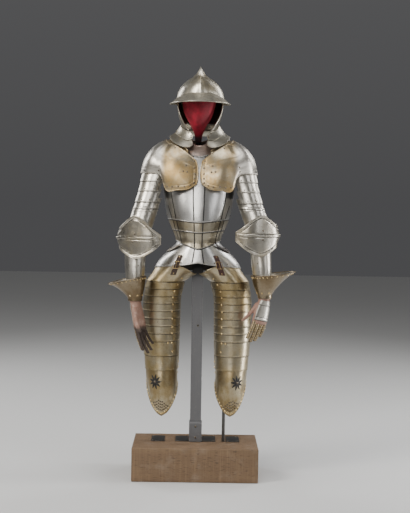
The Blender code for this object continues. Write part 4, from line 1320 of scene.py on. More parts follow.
def studs(places: Sequence[tuple[Vector, Vector]], radius: float, height: float,
          faces: int = 10) -> Mesh:
    """Rivet heads on a plate.

    Args:
        places: Point and outward direction of each.
        radius: Radius of a head.
        height: How far it stands out.
        faces: Faces round it.

    Returns:
        The mesh.
    """
    work = bmesh.new()
    for point, normal in places:
        turn = normal.to_track_quat("Z", "Y").to_matrix().to_4x4()
        size = Matrix.Diagonal((radius, radius, height, 1.0))
        bmesh.ops.create_uvsphere(
            work, u_segments=faces, v_segments=6, radius=1.0,
            matrix=Matrix.Translation(point) @ turn @ size,
        )
    return work


MATERIALS: dict[str, bpy.types.Material] = {}


def coated(finish: Any) -> bpy.types.Material:
    """The material of a finish, made once."""
    if finish.name not in MATERIALS:
        MATERIALS[finish.name] = finish.material()
    return MATERIALS[finish.name]


@dataclass
class SubAssembly:
    """What every sub-assembly shares: making a piece of a mesh, and its turned edges."""

    side: Side | None = None
    wall: float = WALL
    sharp: float = 38.0

    def put(self, work: Mesh, name: str, finish: Any, body: str = "root",
            side: Side | None = None, node: str = "", wall: float = 0.0, lining: Any = None,
            tail: str = "") -> bpy.types.Object:
        """Makes a piece of a mesh.

        Args:
            work: The mesh; it is freed.
            name: The piece's name, without its side.
            finish: Its finish.
            body: The body that it rides on.
            side: Its side, where the sub-assembly has none; RIGHT mirrors it.
            node: The CAD node that it stands for, without its side.
            wall: Thickness added inwards by Solidify.
            lining: Finish of its inner face, where that is another.
            tail: End of the name, after the side.

        Returns:
            The piece.
        """
        side = side or self.side
        mark = f"_{side.word}" if side else ""
        if side is Side.RIGHT:
            bmesh.ops.scale(work, vec=(-1.0, 1.0, 1.0), verts=work.verts)
            bmesh.ops.reverse_faces(work, faces=work.faces)
        mesh = bpy.data.meshes.new(name + mark + tail)
        work.to_mesh(mesh)
        work.free()
        mesh.shade_smooth()
        mesh.set_sharp_from_angle(angle=math.radians(self.sharp))
        mesh.materials.append(coated(finish))
        made = bpy.data.objects.new(mesh.name, mesh)
        bpy.context.scene.collection.objects.link(made)
        if wall:
            thick = made.modifiers.new("wall", "SOLIDIFY")
            thick.thickness = wall
            thick.offset = -1.0
            if lining:
                mesh.materials.append(coated(lining))
                thick.material_offset = 1
        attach(made, body)
        if node:
            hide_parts(node + mark)
        log.info("%s: %d faces", made.name, len(mesh.polygons))
        return made

    def plate(self, node: str, surface: Surface, across: Sequence[Any], along: Sequence[Any],
              core: Vector, finish: Any, body: str = "root", **options: Any) -> bpy.types.Object:
        """One plate of sheet metal that stands for its CAD node.

        Args:
            node: The CAD node, without its side.
            surface: Its outer surface.
            across: First places of the mesh.
            along: Second places of the mesh.
            core: Point on its inner side.
            finish: Its finish.
            body: The body that it rides on.
            options: What else `put` takes.

        Returns:
            The piece.
        """
        work = sheet(surface, across, along)
        self.outwards(work, core)
        options = {"wall": self.wall, "tail": "_plate", **options}
        return self.put(work, node, finish, body, node=node, **options)

    def outwards(self, work: Mesh, core: Vector) -> None:
        """Turns a sheet's faces away from a core point.

        Args:
            work: The sheet.
            core: The point.
        """
        work.normal_update()
        away = sum((f.calc_center_median() - core).dot(f.normal) * f.calc_area() for f in work.faces)
        if away < 0:
            bmesh.ops.reverse_faces(work, faces=work.faces)

    def edge(self, surface: Surface, places: Sequence[Pair], core: Vector, radius: float,
             sink: float = 0.0009, steps: Pair = PLATE_STEPS, *roll: float) -> Mesh:
        """Turned edge along a plate's places, sunk into its wall.

        Args:
            surface: The plate's surface.
            places: First and second place of each point.
            core: Point on its inner side.
            radius: Its radius.
            sink: How deep its middle lies under the outer face.
            steps: Steps for the slopes.
            roll: What else `rolled` takes.

        Returns:
            The mesh.
        """
        pairs = [facing(surface, u, v, core, steps) for u, v in places]
        return rolled([p - n * sink for p, n in pairs], [n for _, n in pairs], radius, *roll)

    def inked(self, surface: Surface, places: Sequence[Pair], core: Vector, steps: Pair = PLATE_STEPS,
              radius: float = 0.0015, lift: float = 0.0003) -> Mesh:
        """Flat dark line of painted shadow that lies in a groove or along a lap."""
        return self.edge(surface, places, core, radius, -lift, steps, *SHADOW_STRIP)


@dataclass
class Burgonet(SubAssembly):
    """Open helmet: skull with comb and brim, cheeks, and two neck lames a side."""

    turns: int = 144
    roll: float = 0.0026
    cheek_roll: float = 0.0032
    crease: float = 0.0012
    prow: float = 0.0085
    prow_half: float = 0.052
    rivet: float = 0.0026
    neck_rivets: tuple[Pair, ...] = ((34.0, 0.1), (25.0, 0.22), (24.0, 0.36))

    def build(self) -> None:
        """Makes the helmet."""
        self.skull()
        for side in Side:
            self.cheek(side)
            self.neck(side)

    def keeled(self, point: Vector, row: float) -> Vector:
        """A point of the skull drawn forwards to the prow's crease."""
        if point.y < 0:
            fade = 1 - step(row, 1.705, 1.765) if row > 0 else 1 + row
            point.y -= self.prow * max(0.0, 1 - abs(point.x) / self.prow_half) * fade
        return point

    def outside(self, degrees: float, row: float) -> Vector:
        """Outer surface with its keel line.

        Args:
            degrees: Angle from the front.
            row: Height, or 0 to -1 across the brim.

        Returns:
            The point.
        """
        point = helmet(degrees, row)
        flat = Vector((point.x, point.y, 0.0)).normalized()
        return self.keeled(point + flat * self.crease * ridge(point.x, 0.0035), row)

    def inside(self, degrees: float, row: float) -> Vector:
        """Inner surface of the skull and brim.

        Args:
            degrees: Angle from the front.
            row: Height, or 0 to -1 across the brim.

        Returns:
            The point.
        """
        if row <= 0:
            root = skull(degrees, BRIM_TOP)
            inward = Vector((root.x, root.y, 0.0)).normalized()
            point = helmet(degrees, row) - (inward + UP) * self.wall * 0.75
            return self.keeled(point, row)
        point = self.keeled(skull(degrees, row, self.wall), row)
        if row == SKULL_INSIDE_TOP:
            point.x = 0.0
        return point

    def skull(self) -> None:
        """Skull and brim as one shell, with the brim's turned edge and lining rivets."""
        angles = spread(0.0, 360.0, self.turns)
        brim = [-1.0 + i / 14 for i in range(14)]
        heights = spread(SKULL[0].z, SKULL[-1].z, 46)
        low = [z for z in heights if z < SKULL_INSIDE_TOP] + [SKULL_INSIDE_TOP]
        work = joined([sheet(self.outside, angles, brim + heights), sheet(self.inside, angles, brim + low)])
        rim = [edge for edge in work.edges if edge.is_boundary]
        bmesh.ops.bridge_loops(work, edges=rim)
        bmesh.ops.recalc_face_normals(work, faces=work.faces)
        self.put(work, "skull_shell", HELMET_STEEL, node="skull")
        line = [self.outside(a, -1.0) for a in spread(0.0, 360.0, 260)]
        outs = [Vector((p.x, p.y, 0.0)).normalized() for p in line]
        line = [p - o * self.roll * 0.4 for p, o in zip(line, outs)]
        self.put(rolled(line, outs, self.roll), "brim_roll", HELMET_STEEL)
        places = [facing(self.outside, a, 1.668, HEAD_INSIDE) for a in spread(14.0, 346.0, 16)]
        self.put(studs(places, *SKULL_RIVET), "skull_rivets", RIVET_IRON)

    def cheek(self, side: Side) -> None:
        """Cheek plate with its turned face edge.

        Args:
            side: The wearer's side.
        """
        def surface(share: float, rise: float) -> Vector:
            """Point of the cheek."""
            z = CHEEK_TOP
            for _ in range(3):
                lowest = cheek_low(share, z)
                z = lowest + (CHEEK_TOP - lowest) * rise
            return head(cheek_angle(share, z), (z, 0.0))
        self.plate("cheek", surface, spread(0.0, 1.0, 60), spread(0.0, 1.0, 30), HEAD_INSIDE, HELMET_STEEL,
                   side=side)
        steps = (0.01, 0.01)
        front = [(0.0, v) for v in spread(0.02, 0.985, 50)]
        self.put(self.edge(surface, front, HEAD_INSIDE, self.cheek_roll, 0.0, steps), "cheek_roll",
                 HELMET_STEEL, side=side)
        places = [(0.06, 0.93), (0.12, 0.93), (0.055, 0.25), (0.055, 0.5), (0.055, 0.75)]
        heads = [facing(surface, u, v, HEAD_INSIDE, steps) for u, v in places]
        self.put(studs(heads, self.rivet, 0.0016), "cheek_rivets", RIVET_IRON, side=side)

    def neck(self, side: Side) -> None:
        """The two neck lames with their edges and rivets.

        Args:
            side: The wearer's side.
        """
        steps = SHARE_STEPS
        for part, start, rows in (("upper", 20.0, NECK_UPPER_ROWS), ("lower", 16.5, NECK_LOWER_ROWS)):
            def surface(degrees: float, level: float, rows: Any = rows, start: float = start) -> Vector:
                """Point of the lame, its front end rounded."""
                middle = (rows[0][0] + rows[2][0]) / 2
                near = 1 - min(max((degrees - start) / 14.0, 0.0), 1.0)
                level = middle + (level - middle) * math.sqrt(max(1 - near * near, 0.0))
                return collar(degrees, (level, linear(rows, level)))
            first, last = rows[0][0], rows[2][0]
            self.plate(f"neck_{part}", surface, spread(start, SEAM_ANGLE, 90),
                       spread(first, last, 12), HEAD_INSIDE, HELMET_STEEL, side=side)
            bottom = level(start + 26.0, start + 0.7, 30, first + 0.01)
            bottom += level(start + 0.7, SEAM_ANGLE - 0.6, 110, last - 0.01)
            roll = self.edge(surface, bottom, HEAD_INSIDE, 0.0021, 0.0004, steps, 0.0, PITCH, 8, 0.8)
            self.put(roll, f"neck_edge_{part}", HELMET_STEEL, side=side)
            if part == "upper":
                rivets = [facing(surface, a, v, HEAD_INSIDE, steps) for a, v in self.neck_rivets]
        self.put(studs(rivets, *NECK_RIVET), "neck_rivets", RIVET_IRON, side=side)


@dataclass
class Cuirass(SubAssembly):
    """Gorget, breastplate, belly lames, fauld, backplate, culet and belt."""

    raised: float = 0.001
    band_half: tuple[Pair, ...] = (
        (0.93, 0.03), (0.955, 0.0235), (1.005, 0.016), (1.06, 0.0165), (1.21, 0.0235), (1.4, 0.026),
    )
    flank_half: tuple[Pair, ...] = (
        (1.035, 0.072), (1.12, 0.094), (1.24, 0.119), (1.33, 0.126), (1.41, 0.126),
    )
    outer_half: tuple[Pair, ...] = ((1.05, 0.087), (1.193, 0.133))
    lap: float = LAP

    def build(self) -> None:
        """Makes the cuirass."""
        self.gorget()
        self.front()
        self.back()
        self.belt()

    def half(self, table: Sequence[Pair], z: float) -> float:
        """Half distance of a line from the middle at a height."""
        return linear(table, min(max(z, table[0][0]), table[-1][0]))

    def relief(self, point: Vector) -> float:
        """The middle band of the breast, as a height at a point."""
        return self.raised * step(self.half(self.band_half, point.z) - abs(point.x), -0.003, 0.003)

    def body_plate(self, node: str, degrees: Sequence[float], top: Callable[[float], float],
                   bottom: Callable[[float], float], rows: int, finish: Any,
                   top_out: float = 0.0, worked: bool = True) -> Surface:
        """A plate of the cuirass between two edges that are functions of the angle.

        Args:
            node: The CAD node.
            degrees: Angles of the mesh.
            top: Height of its upper edge.
            bottom: Height of its lower edge.
            rows: Rows of the mesh.
            finish: Its finish.
            top_out: Distance out at its upper edge.
            worked: Whether it has the breast's raised middle band.

        Returns:
            Its surface, from 0 at the lower edge to 1 at the upper.
        """
        def plain(angle: float, share: float) -> Vector:
            """Point of the plain plate."""
            z = bottom(angle) + (top(angle) - bottom(angle)) * share
            return torso(angle, (z, top_out * share))

        def surface(angle: float, share: float) -> Vector:
            """Point of the plate with its raised middle band."""
            point, normal = facing(plain, angle, share, TORSO_INSIDE, TORSO_STEPS)
            return point + normal * (self.relief(point) if worked else 0.0)
        self.plate(node, surface, degrees, spread(0.0, 1.0, rows), TORSO_INSIDE, finish, lining=LINING)
        return surface

    def groove_line(self, plate: Surface, low: Callable[[float], float], top: Callable[[float], float],
                    table: Sequence[Pair], sign: int) -> Mesh | None:
        """Dark line of painted shadow down a plate, at a table's distance from the middle.

        Args:
            plate: The plate's surface.
            low: Height of its lower edge at an angle.
            top: Height of its upper edge at an angle.
            table: (height, distance) rows.
            sign: 1 for the wearer's left, -1 for the right.

        Returns:
            The line, or None where the plate has no part of it.
        """
        places = []
        for z in spread(table[0][0], table[-1][0], 90):
            angle = sign * math.degrees(math.asin(min(self.half(table, z) / at(TORSO, z).width, 1.0)))
            share = (z - low(angle)) / (top(angle) - low(angle))
            if 0.012 < share < 0.985:
                places.append((angle, share))
        if len(places) < 3:
            return None
        return self.inked(plate, places, TORSO_INSIDE, TORSO_STEPS, 0.0027, 0.0006)

    def gorget(self) -> None:
        """Front and back plates of the gorget with their edges."""
        shares = spread(0.0, 1.0, 20)
        for node, middle in (("gorget_front", 0.0), ("gorget_back", 180.0)):
            angles = spread(middle - GORGET_SEAM, middle + GORGET_SEAM, 80)
            self.plate(node, gorget, angles, shares, GORGET_INSIDE, GORGET_STEEL)
            for share, radius in ((0.0, 0.0024), (0.985, 0.0016)):
                row = [(a, share) for a in angles[1:-1]]
                roll = self.edge(gorget, row, GORGET_INSIDE, radius, 0.0009, KNEE_STEPS)
                self.put(roll, f"{node}_edge_{int(share)}{int(radius * 1e4)}", GORGET_STEEL)

    def front(self) -> None:
        """Breastplate, two belly lames and fauld."""
        fine = sorted({round(a, 3) for a in (*spread(-SIDE_SEAM, SIDE_SEAM, 90), *spread(-20, 20, 44))})
        belly = [lambda a, line=line: sloped_edge(a, *line) for line in BELLY_LINES]
        lows = [*belly, lambda a: edge_height(FAULD_EDGE, a)]
        tops = [lambda a: edge_height(BREAST_TOP, a)]
        tops += [lambda a, low=low: low(a) + self.lap for low in belly]
        plates = [
            self.body_plate(node, fine, top, low, count, finish, out)
            for (node, count, finish, out), top, low in zip((
                ("breastplate", 54, COOL_STEEL, 0.0), ("belly_lame_1", 10, BELLY_STEEL, -STEP),
                ("belly_lame_2", 16, BELLY_STEEL, -STEP), ("fauld", 28, COOL_STEEL, -WAIST_TUCK),
            ), tops, lows)
        ]
        rolls, shadows = [], []
        for i, share, reach, radius in ((0, 1.0, 54.0, 0.004), (0, 0.006, 86.0, 0.0013),
                                        (1, 0.02, 86.0, 0.0012), (2, 0.015, 86.0, 0.0012),
                                        (3, 0.004, 88.0, 0.0024)):
            row = level(-reach, reach, 170, share)
            rope = 0.14 if radius > 0.003 else 0.0
            rolls.append(self.edge(plates[i], row, TORSO_INSIDE, radius, EDGE_SINK, TORSO_STEPS, rope,
                                   0.006))
        self.put(joined(rolls), "cuirass_edges", COOL_STEEL)
        # painted shadow: dark lines in the breast's grooves and just below the lap of each plate above
        for i, (plate, low, top) in enumerate(zip(plates, lows, tops)):
            tables = (self.band_half, self.flank_half, self.outer_half) if i < 3 else (self.band_half,)
            shadows += [self.groove_line(plate, low, top, table, sign) for sign in (-1, 1) for table in tables]
            if i:
                row = [(a, (lows[i - 1](a) - 0.0024 - low(a)) / (top(a) - low(a)))
                       for a in spread(-86, 86, 150)]
                shadows.append(self.inked(plate, row, TORSO_INSIDE, TORSO_STEPS, 0.0018, 0.0004))
        self.put(joined([line for line in shadows if line]), "cuirass_groove_shadows", SHADOW_AND_STAR)
        places = []
        for sign in (-1, 1):
            for angle, z in ((63.0, 1.3), (70.0, 1.26), (84.0, 1.1), (84.0, 1.06), (80.0, 1.15)):
                share = (z - belly[0](angle)) / (tops[0](angle) - belly[0](angle))
                if share > 0:
                    places.append(facing(plates[0], angle * sign, share, TORSO_INSIDE, TORSO_STEPS))
            places += [facing(plates[-1], angle * sign, 0.12, TORSO_INSIDE, TORSO_STEPS)
                       for angle in (24.0, 46.0, 70.0)]
        self.put(studs(places, *PLATE_RIVET), "cuirass_rivets", RIVET_IRON)

    def back(self) -> None:
        """Backplate and culet."""
        angles = spread(180.0 - SIDE_SEAM, 180.0 + SIDE_SEAM, 80)
        back_waist = BELLY_LINES[2][1]
        plate = self.body_plate("backplate", angles, lambda a: edge_height(BREAST_TOP, from_back(a)),
                                lambda a: back_waist, 36, COOL_STEEL, worked=False)
        culet = self.body_plate("culet", angles, lambda a: back_waist + self.lap,
                                lambda a: edge_height(CULET_EDGE, from_back(a)), 30, COOL_STEEL,
                                -WAIST_TUCK, worked=False)
        rolls = []
        for surface, share, reach, radius in ((plate, 1.0, 54.0, 0.0035), (plate, 0.006, 86.0, 0.0014),
                                              (culet, 0.004, 88.0, 0.0024)):
            row = [(180.0 + a, share) for a in spread(-reach, reach, 120)]
            rolls.append(self.edge(surface, row, TORSO_INSIDE, radius, EDGE_SINK, TORSO_STEPS))
        self.put(joined(rolls), "back_edges", COOL_STEEL)
        places = [facing(culet, 180.0 + a, 0.12, TORSO_INSIDE, TORSO_STEPS)
                  for a in (-70, -46, -24, 24, 46, 70)]
        self.put(studs(places, *PLATE_RIVET), "back_rivets", RIVET_IRON)

    def belt(self) -> None:
        """Waist belt: a dark strap on the wearer's left and dark steel on the right."""
        def waist(degrees: float, share: float) -> Vector:
            """Point of the belt, which slopes down from the belly to the sides."""
            turn = abs(math.sin(math.radians(degrees)))
            z = 1.046 - 0.048 * step(turn, 0.55, 1.0) + (share - 0.5) * 0.017
            return torso(degrees, (z, 0.0025))
        for side, finish in ((Side.LEFT, STRAP), (Side.RIGHT, DARK_STEEL)):
            work = sheet(waist, spread(47.0, 133.0, 70), spread(0.0, 1.0, 4))
            self.outwards(work, TORSO_INSIDE)
            self.put(work, "belt", finish, side=side, wall=0.0022)


def seek(surface: Surface, x: float, z: float, us: Sequence[float],
         vs: Sequence[float]) -> Pair:
    """The places of a surface that lie nearest to a point seen from the front.

    Args:
        surface: The surface.
        x: Distance from the middle.
        z: Height.
        us: First and last first place.
        vs: First and last second place.

    Returns:
        The two places.
    """
    def miss(place: Pair) -> float:
        """Squared distance seen from the front."""
        point = surface(*place)
        return (point.x - x) ** 2 + (point.z - z) ** 2
    best = ((us[0] + us[-1]) / 2, (vs[0] + vs[-1]) / 2)
    reach = ((us[-1] - us[0]) / 2, (vs[-1] - vs[0]) / 2)
    for _ in range(7):
        near = [(best[0] + reach[0] * i / 4, best[1] + reach[1] * j / 4)
                for i in range(-4, 5) for j in range(-4, 5)]
        near = [(min(max(u, us[0]), us[-1]), min(max(v, vs[0]), vs[-1])) for u, v in near]
        best = min(near, key=miss)
        reach = (reach[0] * 0.45, reach[1] * 0.45)
    return best


@dataclass
class Arm(SubAssembly):
    """Pauldron, shoulder lame, arm lames, cannons, couter and gauntlet of one side."""

    border: float = 0.02
    roll: float = 0.0026
    elbow_band: float = 0.0052
    chest_rivets: tuple[Pair, ...] = ((0.069, 1.3375), (0.052, 1.335), (0.056, 1.363))
    arm_rivets: tuple[Pair, ...] = ((0.172, 1.359), (0.174, 1.34))
    scales: int = 8
    elbow_rivets: dict[Side, tuple[Pair, ...]] = field(default_factory=lambda: {
        Side.LEFT: ((0.277, 1.09), (0.277, 1.0515)), Side.RIGHT: ((0.271, 1.0674), (0.281, 1.034)),
    })

    def build(self) -> None:
        """Makes the arm."""
        self.shoulder()
        self.lames()
        self.cannons()
        self.elbow()
        self.gauntlet()
        self.hand()

    def lifted(self, surface: Surface) -> Surface:
        """The surface hung at this arm's own height."""
        return lambda u, v: hung(self.side.value, surface(u, v))

    def shoulder(self) -> None:
        """Pauldron with its border strip, and the lame at its neck."""

        def relief(station: float, down: float) -> float:
            """Height of the border strip and the wing's line."""
            here = pauldron(station, down)
            low = (here - pauldron(station, 1.0)).length
            end = PAULDRON[0].at if station < 4.6 else PAULDRON[-1].at
            edge = min(low, (here - pauldron(end, down)).length)
            height = -0.0007 * ridge(edge - self.border, 0.0016)
            height += 0.0005 * step(self.border - edge, 0, 0.003)
            if 0.4 < station < 4.0:
                height += 0.0007 * step(0.36 + 0.02 * station - down, -0.01, 0.01)
            return height
        steps = STATION_STEPS
        surface = proud(pauldron, relief, SHOULDER_CORE, steps)
        stations = spread(PAULDRON[0].at, PAULDRON[-1].at, 140)
        self.plate("pauldron", surface, stations, spread(PAULDRON_START, 1.0, 60), SHOULDER_CORE,
                   WING_STEEL)

        def tucked(station: float, down: float) -> Vector:
            """Point of the neck lame, tucked under the pauldron."""
            share = (SHOULDER_LAME_END - down) / SHOULDER_LAME_END
            return moved_out(pauldron, station, down, -STEP * (1 - share) - SHOULDER_TUCK * share)
        lame_stations = [s for s in spread(PAULDRON[0].at, PAULDRON[-1].at, 180) if s > 0.92]
        self.plate("shoulder_lame", tucked, lame_stations, spread(0.0, SHOULDER_LAME_END, 12),
                   SHOULDER_CORE, WING_STEEL)
        path = level(9.15, 0.05, 160, PAULDRON_START + 0.004)
        path += [(0.03, v) for v in spread(0.16, 0.97, 60)]
        path += level(0.06, 9.15, 330, 0.994)
        path += [(9.17, v) for v in spread(0.97, 0.16, 60)]
        path.append(path[0])
        top = level(1.0, 9.1, 150, 0.006)
        rolls = [self.edge(pauldron, path, SHOULDER_CORE, self.roll, EDGE_SINK, steps),
                 self.edge(tucked, top, SHOULDER_CORE, 0.0024, EDGE_SINK, steps)]
        self.put(joined(rolls), "pauldron_edges", WING_STEEL)
        places = [(0.34, v) for v in (0.2, 0.42, 0.6, 0.76, 0.9)]
        places += [(s, 0.93) for s in (0.75, 1.25, 1.8, 2.35, 2.85)]
        places += [(8.9, v) for v in (0.25, 0.5, 0.75)] + [(s, 0.93) for s in (7.4, 7.9, 8.5)]
        places += [(s, 0.17) for s in (2.4, 3.6, 4.8, 6.0, 7.2)]
        for x, z in self.chest_rivets + self.arm_rivets:
            places.append(seek(pauldron, x, z, (0.2, 4.6), (0.1, 0.98)))
        heads = [facing(surface, u, v, SHOULDER_CORE, steps) for u, v in places]
        self.put(studs(heads, *WING_RIVET), "pauldron_rivets", RIVET_IRON)

    def lames(self) -> None:
        """Three lames under the pauldron."""
        trim, heads, shadows = [], [], []
        for i, (top, bottom) in enumerate(ARM_LAMES):
            def surface(degrees: float, z: float, top: float = top, bottom: float = bottom) -> Vector:
                """Point of the lame."""
                return upper_arm(degrees, (z, -STEP * (z - bottom) / (top - bottom)))
            core = arm_centre((top + bottom) / 2)
            around = spread(ARM_LAME_FRONTS[i], ARM_LAME_REACH, 100)
            self.plate(f"arm_lame_{i + 1}", surface, around, spread(top, bottom, 14), core, ARM_STEEL)
            row = [(a, bottom + 0.0012) for a in around[1:-1]]
            trim.append(self.edge(surface, row, core, 0.0017, 0.0008))
            # painted shadow just below the edge of the lame above
            if i:
                row = [(a, ARM_LAMES[i - 1][1] - 0.002) for a in around[4:-3]]
                shadows.append(self.inked(surface, row, core, radius=0.0008))
            for angle in (-97.0, -60.0, 97.0):
                heads.append(facing(surface, angle, bottom + 0.01, core))
        self.put(joined(trim), "arm_lame_edges", ARM_STEEL)
        self.put(joined(shadows), "arm_lame_laps", SHADOW_AND_STAR)
        self.put(studs(heads, *PLATE_RIVET), "arm_lame_rivets", RIVET_IRON)

    def cannons(self) -> None:
        """Upper and lower cannons with their rings, seams and rivets."""
        circle = spread(0.0, 360.0, 72)

        def upper(degrees: float, z: float) -> Vector:
            """Point of the upper cannon with its turned rings."""
            out = linear(UPPER_CANNON[::-1], z)
            out += 0.0018 * (ridge(z - 1.181, 0.0035) + 0.8 * ridge(z - 1.171, 0.0028))
            return self.lifted(upper_arm)(degrees, (z, out))

        def lower(degrees: float, z: float) -> Vector:
            """Point of the lower cannon with its two edge grooves."""
            out = linear(LOWER_CANNON[::-1], z) - 0.0011 * ridge(z - 0.826, 0.0018)
            seam = (degrees - 250.0 + 180.0) % 360.0 - 180.0
            out += 0.001 * step(seam, -1.5, 1.5) * step(40.0 - abs(seam), 0.0, 40.0)
            return self.lifted(forearm)(degrees, (z, out))
        lift = Vector((0.0, 0.0, ARM_LIFT[self.side.value]))
        self.plate("upper_cannon", upper, circle, spread(UPPER_CANNON[0][0], UPPER_CANNON[-1][0], 54),
                   arm_centre(1.14) + lift, ARM_STEEL)
        self.plate("lower_cannon", lower, circle, spread(LOWER_CANNON[0][0], LOWER_CANNON[-1][0], 54),
                   forearm_centre(0.92) + lift, ARM_STEEL, self.side.forearm)
        self.put(self.edge(upper, [(a, 1.0695) for a in circle], arm_centre(1.07) + lift, 0.0017),
                 "upper_cannon_edge", ARM_STEEL)
        row = [(a, 1.0485) for a in circle]
        self.put(self.edge(lower, row, forearm_centre(1.04) + lift, 0.0015, 0.001), "lower_cannon_edge",
                 ARM_STEEL, self.side.forearm)
        # painted shadow lines beside the turned rings and the lower edge
        shadows = [self.inked(upper, [(a, z) for a in circle], arm_centre(z) + lift, radius=0.0012)
               for z in (1.2015, 1.176, 1.0725)]
        self.put(joined(shadows), "upper_cannon_lines", SHADOW_AND_STAR)
        heads = [facing(lower, a, z, forearm_centre(z) + lift) for a in (246.0, 68.0)
                 for z in (0.985, 0.94, 0.885)]
        self.put(studs(heads, *CANNON_RIVET), "lower_cannon_rivets", RIVET_IRON,
                 self.side.forearm)

    def elbow(self) -> None:
        """Couter with its ridge, double border lines, turned edge and rivets."""
        core = Vector((ELBOW.x, ELBOW.y, PIVOT_Z)) + Vector((0.0, 0.0, ARM_LIFT[self.side.value]))
        steps = STATION_STEPS

        def relief(station: float, share: float) -> float:
            """Height of the ridge band and of the border lines."""
            here = couter(station, share)
            up = here.z - ELBOW.z - 0.002
            ends = station - COUTER[0].at, COUTER[-1].at - station
            fade = step(min(ends), 0.0, 1.2)
            height = 0.0034 * fade * step(self.elbow_band - abs(up), -0.0015, 0.0015)
            height -= 0.0012 * fade * ridge(abs(up) - self.elbow_band - 0.0026, 0.0018)
            edge = min((here - couter(station, 0.0)).length, (here - couter(station, 1.0)).length)
            height -= 0.0011 * (ridge(edge - 0.011, 0.0012) + ridge(edge - 0.0155, 0.0012))
            height += 0.0014 * step(0.009 - edge, 0.0, 0.004)
            return height
        surface = self.lifted(proud(couter, relief, ELBOW, steps))
        stations = spread(COUTER[0].at, COUTER[-1].at, 130)
        self.plate("couter", surface, stations, spread(0.0, 1.0, 80), core, COUTER_STEEL)
        path = level(0.02, 9.98, 260, 0.996) + [(9.99, v) for v in spread(0.97, 0.03, 30)]
        path += level(9.98, 0.02, 260, 0.004) + [(0.01, v) for v in spread(0.03, 0.97, 30)]
        path.append(path[0])
        self.put(self.edge(self.lifted(couter), path, core, 0.0027, EDGE_SINK, steps), "couter_edge",
                 COUTER_STEEL)

        def line(stations: Sequence[float], radius: float, share: Callable[[Any], float]) -> Any:
            """Line of painted shadow over stations at a share of their heights."""
            return self.inked(surface, [(s, share(at(COUTER, s))) for s in stations], core, steps, radius)
        # painted shadow in the grooves beside the ridge and along the double border lines
        middle, rims = spread(0.9, 9.3, 200), spread(0.5, 9.7, 220)
        shadows = [line(middle, 0.0013, lambda b, up=up: (ELBOW.z + 0.002 + up - b.low) / (b.top - b.low))
               for up in (-0.0078, 0.0078)]
        shadows += [line(rims, 0.0012, lambda b, up=up: up / (b.top - b.low) + (1.0 if up < 0 else 0.0))
                for up in (0.0132, -0.0132)]
        self.put(joined(shadows), "couter_lines", SHADOW_AND_STAR)
        places = [(s, v) for s in (9.7, 6.6) for v in (0.36, 0.7)]
        places += [seek(surface, x, z, (0.6, 5.5), (0.06, 0.94)) for x, z in self.elbow_rivets[self.side]]
        heads = [facing(surface, u, v, core, steps) for u, v in places]
        self.put(studs(heads, *COUTER_RIVET), "couter_rivets", RIVET_IRON)

    def gauntlet(self) -> None:
        """Flared cuff with a roped rim and a row of gilt rivets."""

        def surface(degrees: float, z: float) -> Vector:
            """Point of the cuff with its border lines."""
            edge = CUFF[-1].z - z
            out = -0.0008 * (ridge(edge - 0.012, 0.001) + ridge(z - 0.806, 0.0016))
            return hung(self.side.value, cuff(degrees, (z, out), self.side.value))
        core = hung(self.side.value, forearm_centre(0.83))
        circle = spread(0.0, 360.0, 96)
        body = self.side.forearm
        self.plate("cuff", surface, circle, spread(CUFF[0].z, CUFF[-1].z, 34), core, CUFF_STEEL, body,
                   lining=ARM_STEEL)
        rim = level(0.0, 360.0, 420, CUFF[-1].z - 0.0006)
        self.put(self.edge(surface, rim, core, 0.003, EDGE_SINK, PLATE_STEPS, 0.16, 0.0065), "cuff_rim",
                 CUFF_STEEL, body)
        heads = [facing(surface, a, CUFF[-1].z - 0.006, core) for a in spread(6.0, 354.0, 29)]
        self.put(studs(heads, *CUFF_RIVET), "cuff_rivets", RIVET_GILT, body)
        heads = [facing(surface, a, 0.812, core) for a in (200.0, 250.0, 300.0)]
        self.put(studs(heads, *WRIST_RIVET), "wrist_rivets", RIVET_GILT, body)

    def hand(self) -> None:
        """Leather glove, the plate on the back of the hand and the finger scales."""
        value, body = self.side.value, self.side.forearm
        middle = hung(value, WRIST + HAND_DOWN * 0.05)
        work = sheet(self.lifted(lambda u, v: palm(value, u, v)), spread(0.0, 360.0, 40),
                     spread(PALM[0].along, PALM[-1].along, 40))
        bmesh.ops.recalc_face_normals(work, faces=work.faces)
        skin, scales, heads = [work], [], []
        for row in FINGERS:
            places = [0.0, 0.02, *spread(0.06, 0.94, 24), 0.98, 1.0]
            piece = sheet(self.lifted(finger(value, row)), spread(0.0, 360.0, 16), places)
            bmesh.ops.recalc_face_normals(piece, faces=piece.faces)
            skin.append(piece)
            if row.name != "thumb":
                self.finger_scales(scales, row, heads)
        glove = self.put(joined(skin), "glove_leather", GLOVE, body, node="glove")
        remesh = glove.modifiers.new("one_skin", "REMESH")
        remesh.mode = "VOXEL"
        remesh.voxel_size = 0.0022
        remesh.use_smooth_shade = True
        soften = glove.modifiers.new("soft", "SMOOTH")
        soften.iterations = 4
        self.put(joined(scales), "finger_scales", SCALE_BRASS, body, wall=0.0009)
        self.put(studs(heads, *SCALE_RIVET), "scale_rivets", RIVET_GILT, body)

        def plate(degrees: float, along: float) -> Vector:
            """Point of the hand plate, with its wrist lame and its knuckle roll."""
            out = self.wall + HAND_GAP + 0.0012 * step(0.03 - along, -0.0008, 0.0008)
            out += 0.0026 * ridge(along - 0.0815, 0.003)
            return hung(value, palm(value, degrees, along, out - 0.001))
        self.plate("hand_plate", plate, spread(-HAND_PLATE_REACH, HAND_PLATE_REACH, 40),
                   spread(0.014, 0.088, 44), middle, ARM_STEEL, body)
